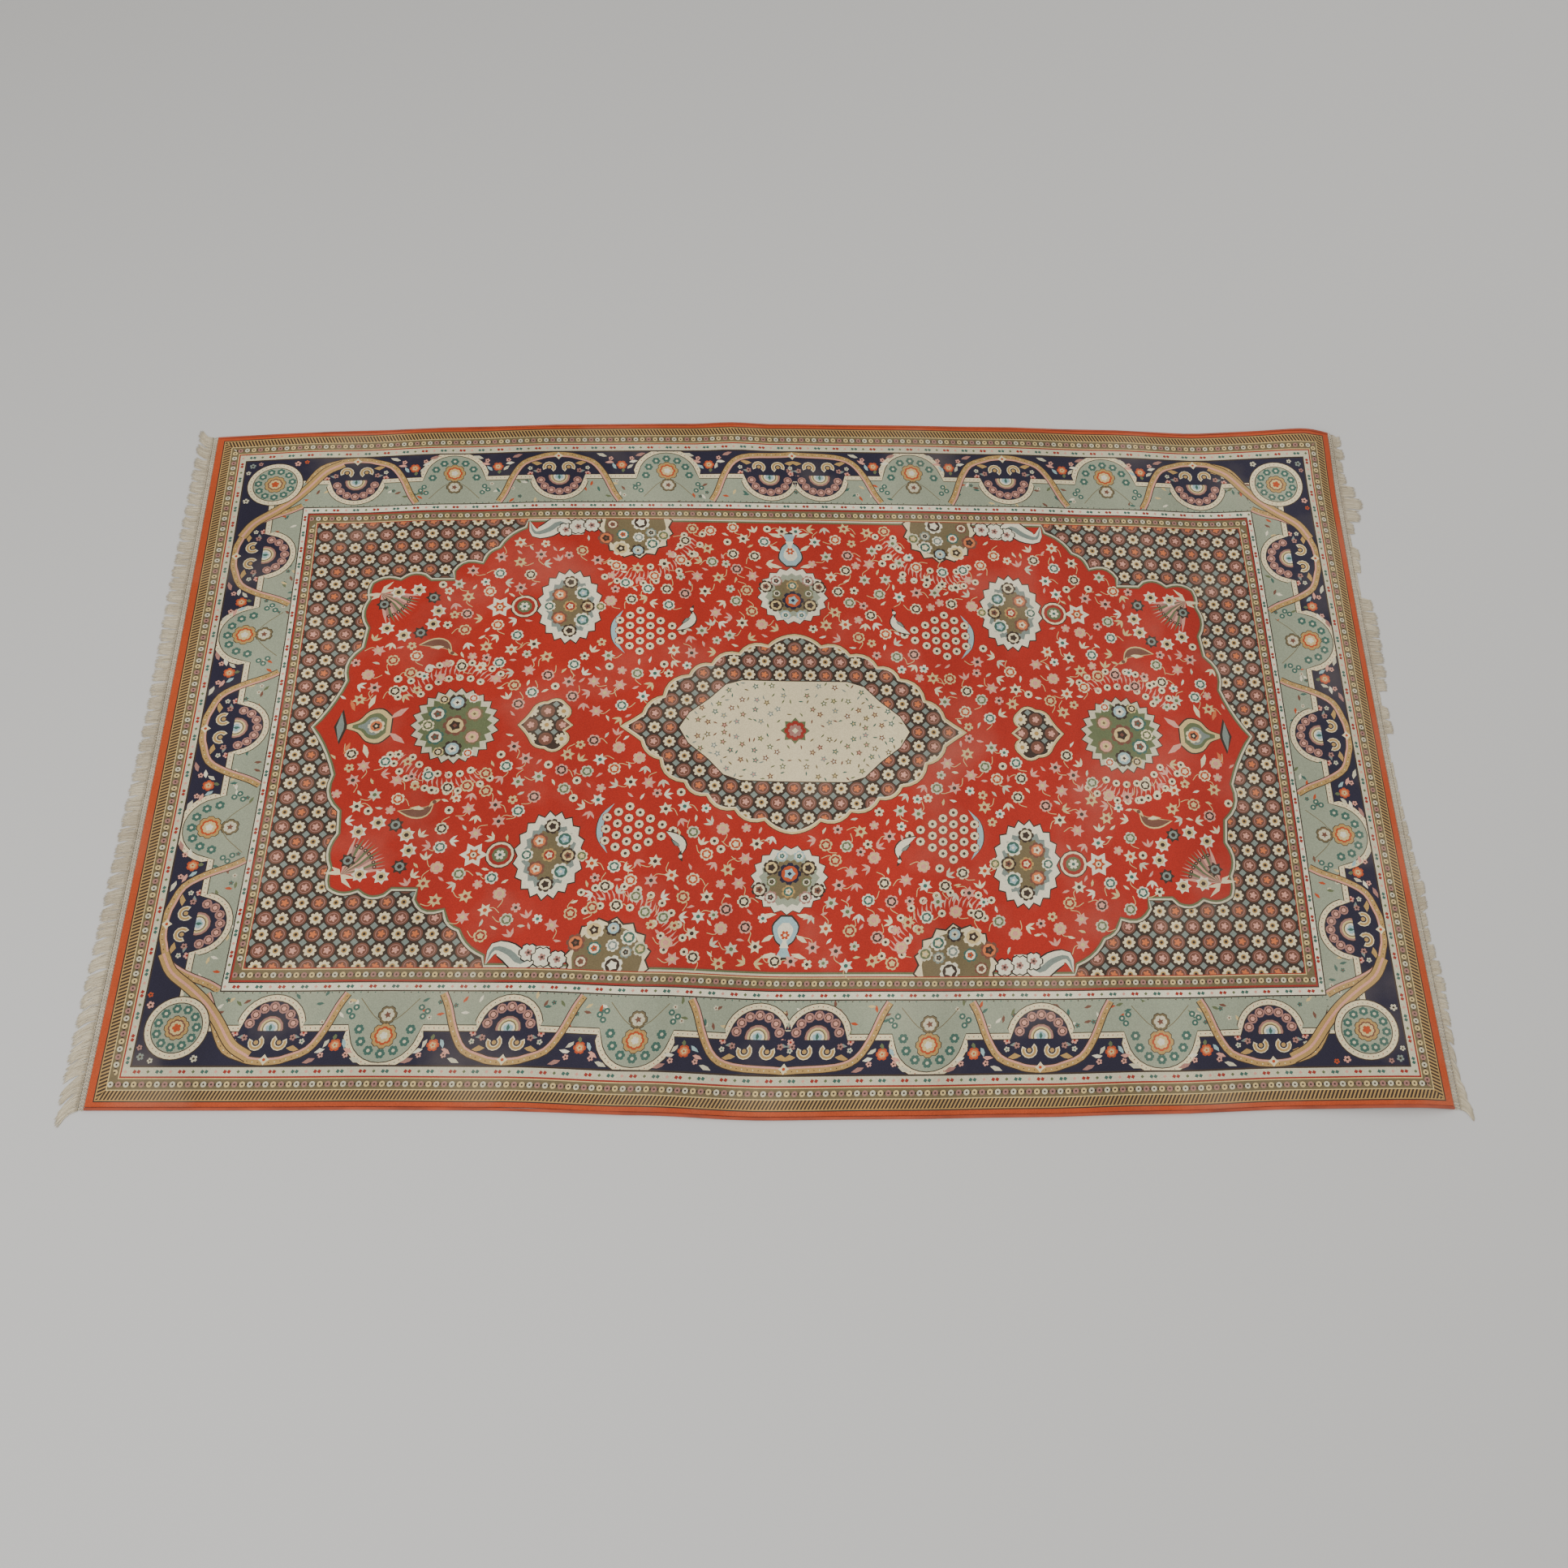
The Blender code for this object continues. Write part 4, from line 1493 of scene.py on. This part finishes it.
def pile_material(name, fade=0.0, pattern=None):
    """Knotted silk: the drawn colour with knots, abrash across the rug, painted sheen in broad lighter,
    darker and paler patches, and a sheen.
    """
    nodes = Nodes(name)
    plan = nodes.attribute("plan")
    silk = nodes.attribute("silk", "Color")
    if pattern:
        silk = pattern(nodes, silk)
    cell = nodes.vector("FLOOR", nodes.vector("MULTIPLY", plan, (1 / KNOT, 1 / KNOT, 0)))
    knot = nodes.add("ShaderNodeTexWhiteNoise", {"Vector": cell}).outputs["Value"]
    stretched = nodes.vector("MULTIPLY", plan, (1.0, 0.05, 1.0))
    abrash = nodes.noise(stretched, 9.0, 5.0)
    # Painted sheen: broad lighter and darker patches in the colour, as where the silk pile leans another
    # way; they also vary the roughness.
    sheen_patches = nodes.noise(plan, 2.6, 3.0)
    tone = nodes.ranged(knot, 0, 1, 0.84, 1.10)
    tone = nodes.math("MULTIPLY", tone, nodes.ranged(abrash, 0.25, 0.75, 0.84, 1.16))
    tone = nodes.math("MULTIPLY", tone, nodes.ranged(sheen_patches, 0.3, 0.7, 0.90, 1.10))
    tones = nodes.add("ShaderNodeCombineXYZ", {0: tone, 1: tone, 2: tone}).outputs[0]
    colour = nodes.vector("MULTIPLY", silk, tones)
    # Painted sheen: paler patches mixed into the colour where the silk pile catches the light.
    painted_sheen = nodes.ranged(nodes.noise(plan, 5.5, 4.0), 0.52, 0.75, 0.0, 0.12)
    colour = nodes.mixed(painted_sheen, colour, (0.62, 0.50, 0.36, 1.0))
    colour = nodes.mixed(fade, colour, (0.45, 0.36, 0.26, 1.0))
    nodes.set(nodes.shader.inputs["Base Color"], colour)
    nodes.set(nodes.shader.inputs["Roughness"], nodes.ranged(sheen_patches, 0.3, 0.7, 0.62, 0.48))
    nodes.shader.inputs["Specular IOR Level"].default_value = 0.25
    nodes.shader.inputs["Sheen Weight"].default_value = 0.08
    nodes.shader.inputs["Sheen Roughness"].default_value = 0.35
    pile = nodes.add("ShaderNodeTexVoronoi", {"Vector": plan, "Scale": 0.9 / KNOT}).outputs["Distance"]
    nodes.bump(nodes.math("SUBTRACT", 1.0, pile), 0.0005, 0.35)
    return nodes.material


def wrapped_material(name, colour, turns):
    """Silk thread wound round an edge cord, with a fine groove at each turn, bumped and darkened with
    painted shade.
    """
    nodes = Nodes(name)
    place = nodes.add("ShaderNodeTexCoord").outputs["Object"]
    wave_inputs = {"Vector": place, "Scale": turns, "Distortion": 0.6, "Detail": 1.0}
    wave = nodes.add("ShaderNodeTexWave", wave_inputs, bands_direction="X").outputs["Fac"]
    tone = nodes.noise(nodes.vector("MULTIPLY", place, (1.0, 0.1, 0.1)), 14.0, 4.0)
    light = tuple(min(1.25 * part, 1.0) for part in colour)
    dark = tuple(0.62 * part for part in colour)
    tinted = nodes.mixed(nodes.ranged(tone, 0.3, 0.7, 0.0, 1.0), (*dark, 1.0), (*light, 1.0))
    # Painted shade: each groove between turns is darkened in the colour, besides its bump.
    groove_shade = tuple(0.3 * part for part in colour)
    groove_shaded = nodes.mixed(nodes.ranged(wave, 0.0, 0.5, 0.45, 0.0), tinted, (*groove_shade, 1.0))
    nodes.set(nodes.shader.inputs["Base Color"], groove_shaded)
    nodes.set(nodes.shader.inputs["Roughness"], nodes.ranged(tone, 0.3, 0.7, 0.62, 0.5))
    nodes.shader.inputs["Sheen Weight"].default_value = 0.2
    nodes.bump(wave, 0.0004, 0.6)
    return nodes.material


def fringe_material(name):
    """Undyed silk ends, each strand a little different, darker at the root and dusty in places."""
    nodes = Nodes(name)
    strand = nodes.attribute("strand", "Fac")
    along = nodes.attribute("along", "Fac")
    place = nodes.add("ShaderNodeTexCoord").outputs["Object"]
    pale = (0.80, 0.70, 0.50, 1.0)
    dull = (0.52, 0.43, 0.28, 1.0)
    colour = nodes.mixed(nodes.ranged(strand, 0.0, 1.0, 0.0, 1.0), dull, pale)
    dusty = nodes.ranged(nodes.noise(place, 9.0, 3.0), 0.4, 0.7, 0.0, 0.35)
    colour = nodes.mixed(dusty, colour, (0.34, 0.27, 0.18, 1.0))
    colour = nodes.mixed(nodes.ranged(along, 0.0, 0.22, 0.5, 0.0), colour, (0.24, 0.19, 0.13, 1.0))
    nodes.set(nodes.shader.inputs["Base Color"], colour)
    nodes.shader.inputs["Roughness"].default_value = 0.55
    nodes.shader.inputs["Sheen Weight"].default_value = 0.15
    nodes.bump(nodes.noise(place, 900.0, 1.0), 0.0002, 0.4)
    return nodes.material


# The fringes.

FRINGE_HEADING = 0.011
FRINGE_PITCH = 0.027
STRAND_RADIUS = 0.00055
STRANDS_A_CLUMP = 76
LEFT_FRINGE = (
    # ("along the end", "length", "lean")
    (-0.640, 0.041, -0.028),
    (-0.560, 0.043, -0.016),
    (-0.300, 0.042, -0.006),
    (0.000, 0.038, -0.002),
    (0.300, 0.042, 0.002),
    (0.540, 0.040, 0.006),
    (0.640, 0.040, 0.020),
)
RIGHT_FRINGE = (
    # ("along the end", "length", "lean")
    (-0.640, 0.030, -0.020),
    (-0.560, 0.020, -0.014),
    (-0.500, 0.024, -0.006),
    (-0.430, 0.028, 0.000),
    (-0.340, 0.020, 0.002),
    (-0.280, 0.028, 0.004),
    (-0.220, 0.021, 0.000),
    (-0.070, 0.016, 0.002),
    (-0.012, 0.013, 0.000),
    (0.040, 0.030, -0.002),
    (0.080, 0.016, 0.000),
    (0.120, 0.034, 0.000),
    (0.260, 0.037, -0.003),
    (0.310, 0.013, -0.002),
    (0.375, 0.028, -0.004),
    (0.405, 0.016, -0.003),
    (0.490, 0.048, -0.003),
    (0.560, 0.024, -0.002),
    (0.610, 0.032, 0.000),
    (0.640, 0.028, 0.006),
)


class Strands:
    """Three-sided threads joined in one mesh, which keeps each thread's shade and the place along it."""

    def __init__(self):
        self.points = []
        self.faces = []
        self.shades = []
        self.along = []

    def add(self, path, radius, shade):
        """A thread through path's points, thinner at its end."""
        path = np.asarray(path, float)
        first = len(self.points)
        ahead = np.gradient(path, axis=0)
        ahead /= np.linalg.norm(ahead, axis=1)[:, None]
        side = np.cross(ahead, (0.0, 0.0, 1.0))
        side /= np.linalg.norm(side, axis=1)[:, None]
        up = np.cross(side, ahead)
        last = len(path) - 1
        for i, place in enumerate(path):
            size = radius * (1.0 if i < last else 0.35)
            for corner in (0.5, 2.594, 4.689):
                self.points.append(place + size * (math.cos(corner) * side[i] + math.sin(corner) * up[i]))
            self.shades += [shade] * 3
            self.along += [i / last] * 3
        for i in range(last):
            for corner in range(3):
                a = first + 3 * i + corner
                b = first + 3 * i + (corner + 1) % 3
                self.faces.append((a, b, b + 3, a + 3))
        self.faces.append((first + 2, first + 1, first))
        end = first + 3 * last
        self.faces.append((end, end + 1, end + 2))

    def to_object(self, name, material):
        mesh = bpy.data.meshes.new(name)
        mesh.from_pydata([tuple(point) for point in self.points], [], self.faces)
        for attribute, values in (("strand", self.shades), ("along", self.along)):
            layer = mesh.attributes.new(attribute, "FLOAT", "POINT")
            layer.data.foreach_set("value", np.array(values, np.float32))
        mesh.shade_smooth()
        mesh.materials.append(material)
        piece = bpy.data.objects.new(name, mesh)
        bpy.context.scene.collection.objects.link(piece)
        print(name, "triangles", sum(len(face) - 2 for face in self.faces))
        return piece


def end_place(end, y, past_end, height):
    """Where a fringe's point lies: past_end beyond the rug's end, at a height over what it lies on."""
    edge_x, edge_y = laid(end * HALF_LENGTH, min(max(y, -HALF_WIDTH), HALF_WIDTH))
    beyond = y - min(max(y, -HALF_WIDTH), HALF_WIDTH)
    fall = 1 - ease(past_end / FRINGE_HEADING / 2)
    return edge_x + end * past_end, edge_y + beyond, height + rise(end * HALF_LENGTH, y) * fall


def make_fringe(name, end, table, material, rng):
    """A knotted net along the end, and the clumps of strands that run out of it."""
    threads = Strands()
    pitch = 0.0052
    count = round(RUG_WIDTH / pitch)
    for i in range(count):
        y = -HALF_WIDTH + (i + 0.5) * RUG_WIDTH / count
        length = read_table(table, y)[0]
        heading = min(FRINGE_HEADING, 0.7 * length)
        for lean in (1, -1):
            path = []
            for step, swing in ((0.0, 0.0), (0.33, 0.5), (0.66, 0.0), (1.0, 0.5)):
                aside_by = lean * swing * pitch
                path.append(end_place(end, y + aside_by, 0.0004 + step * heading, 0.0016 + 0.0005 * lean))
            threads.add(path, 0.00085, rng.random())
    for past in (0.33, 0.66, 1.0):
        line = []
        for i in range(161):
            y = -HALF_WIDTH + RUG_WIDTH * i / 160
            heading = min(FRINGE_HEADING, 0.7 * read_table(table, y)[0])
            line.append(end_place(end, y, past * heading, 0.0019))
        threads.add(line, 0.0006, 0.8)
    clumps = round(RUG_WIDTH / FRINGE_PITCH)
    width = RUG_WIDTH / clumps
    for i in range(clumps):
        middle = -HALF_WIDTH + (i + 0.5) * width
        length, lean = read_table(table, middle)
        heading = min(FRINGE_HEADING, 0.7 * length)
        gather = rng.uniform(0.78, 0.92)
        for _ in range(STRANDS_A_CLUMP):
            across = rng.uniform(-0.5, 0.5)
            reach = (length - heading) * rng.uniform(0.86, 1.08) * (1 - 0.16 * abs(across))
            wave = rng.uniform(-0.0016, 0.0016)
            height = rng.uniform(0.0007, 0.0024)
            path = []
            for share in (0.0, 0.25, 0.5, 0.75, 1.0):
                y = middle + across * width * (1 - (1 - gather) * ease(share * 1.4))
                y += lean * share * share + wave * math.sin(4.5 * share)
                low = height + (0.0009 - height) * share
                path.append(end_place(end, y, heading * 0.9 + reach * share, max(low, 0.0006)))
            threads.add(path, STRAND_RADIUS * rng.uniform(0.85, 1.3), rng.random())
    return threads.to_object(name, material)


# Light, floor and camera.

CAMERA_LENS = 35.03
CAMERA_PLACE = (0.0221, -1.2498)
CAMERA_OVER_PILE = 2.2440
CAMERA_LOOKS_DOWN = 62.749


def make_floor():
    bpy.ops.mesh.primitive_plane_add(size=12, location=(0, 0, -0.0002))
    floor = bpy.context.object
    floor.name = "floor"
    nodes = Nodes("floor_paint")
    nodes.shader.inputs["Base Color"].default_value = (0.62, 0.61, 0.59, 1.0)
    nodes.shader.inputs["Roughness"].default_value = 0.8
    floor.data.materials.append(nodes.material)
    return floor


def make_light(name, place, aim, size, power):
    data = bpy.data.lights.new(name, "AREA")
    data.size = size
    data.energy = power
    lamp = bpy.data.objects.new(name, data)
    lamp.location = place
    lamp.rotation_euler = (Vector(aim) - Vector(place)).to_track_quat("-Z", "Y").to_euler()
    bpy.context.scene.collection.objects.link(lamp)


def make_lights():
    world = bpy.data.worlds.new("studio")
    world.use_nodes = True
    world.node_tree.nodes["Background"].inputs["Color"].default_value = (1.0, 0.99, 0.97, 1.0)
    world.node_tree.nodes["Background"].inputs["Strength"].default_value = 0.55
    bpy.context.scene.world = world
    make_light("key", (-1.2, -1.6, 3.4), (0, 0, 0), 2.6, 100)
    make_light("fill", (2.4, 1.8, 3.0), (0.2, 0, 0), 3.0, 40)


def make_camera():
    data = bpy.data.cameras.new("camera")
    data.lens = CAMERA_LENS
    data.sensor_width = 36.0
    camera = bpy.data.objects.new("camera", data)
    camera.location = (*CAMERA_PLACE, CAMERA_OVER_PILE + PILE_THICKNESS)
    camera.rotation_euler = (math.radians(90 - CAMERA_LOOKS_DOWN), 0, 0)
    bpy.context.scene.collection.objects.link(camera)
    bpy.context.scene.camera = camera


def main():
    make_camera()
    make_lights()
    make_floor()
    rug = make_rug(draw_rug())
    rug.data.materials.append(pile_material("rug_silk_pile"))
    for silk, pattern in (("ticks", ticked), ("dots", dotted), ("lattice", latticed)):
        rug.data.materials.append(pile_material("rug_silk_" + silk, 0.0, pattern))
    rug.data.materials.append(pile_material("rug_back", UNDERSIDE_FADE))
    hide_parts("rug_body")
    rust = linear("rust")
    for name in ("selvedge_far", "selvedge_near"):
        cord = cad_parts[name]
        cord.data.materials.clear()
        cord.data.materials.append(wrapped_material(name + "_wrap", tuple(rust), 320.0))
    fringes = []
    for name, end, table in (("fringe_left", -1, LEFT_FRINGE), ("fringe_right", 1, RIGHT_FRINGE)):
        material = fringe_material(name + "_ends")
        fringe = make_fringe(name + "_strands", end, table, material, random.Random(11 + end))
        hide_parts(name)
        fringes.append(fringe)
    for piece in [rug] + fringes:
        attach(piece, "root")


main()
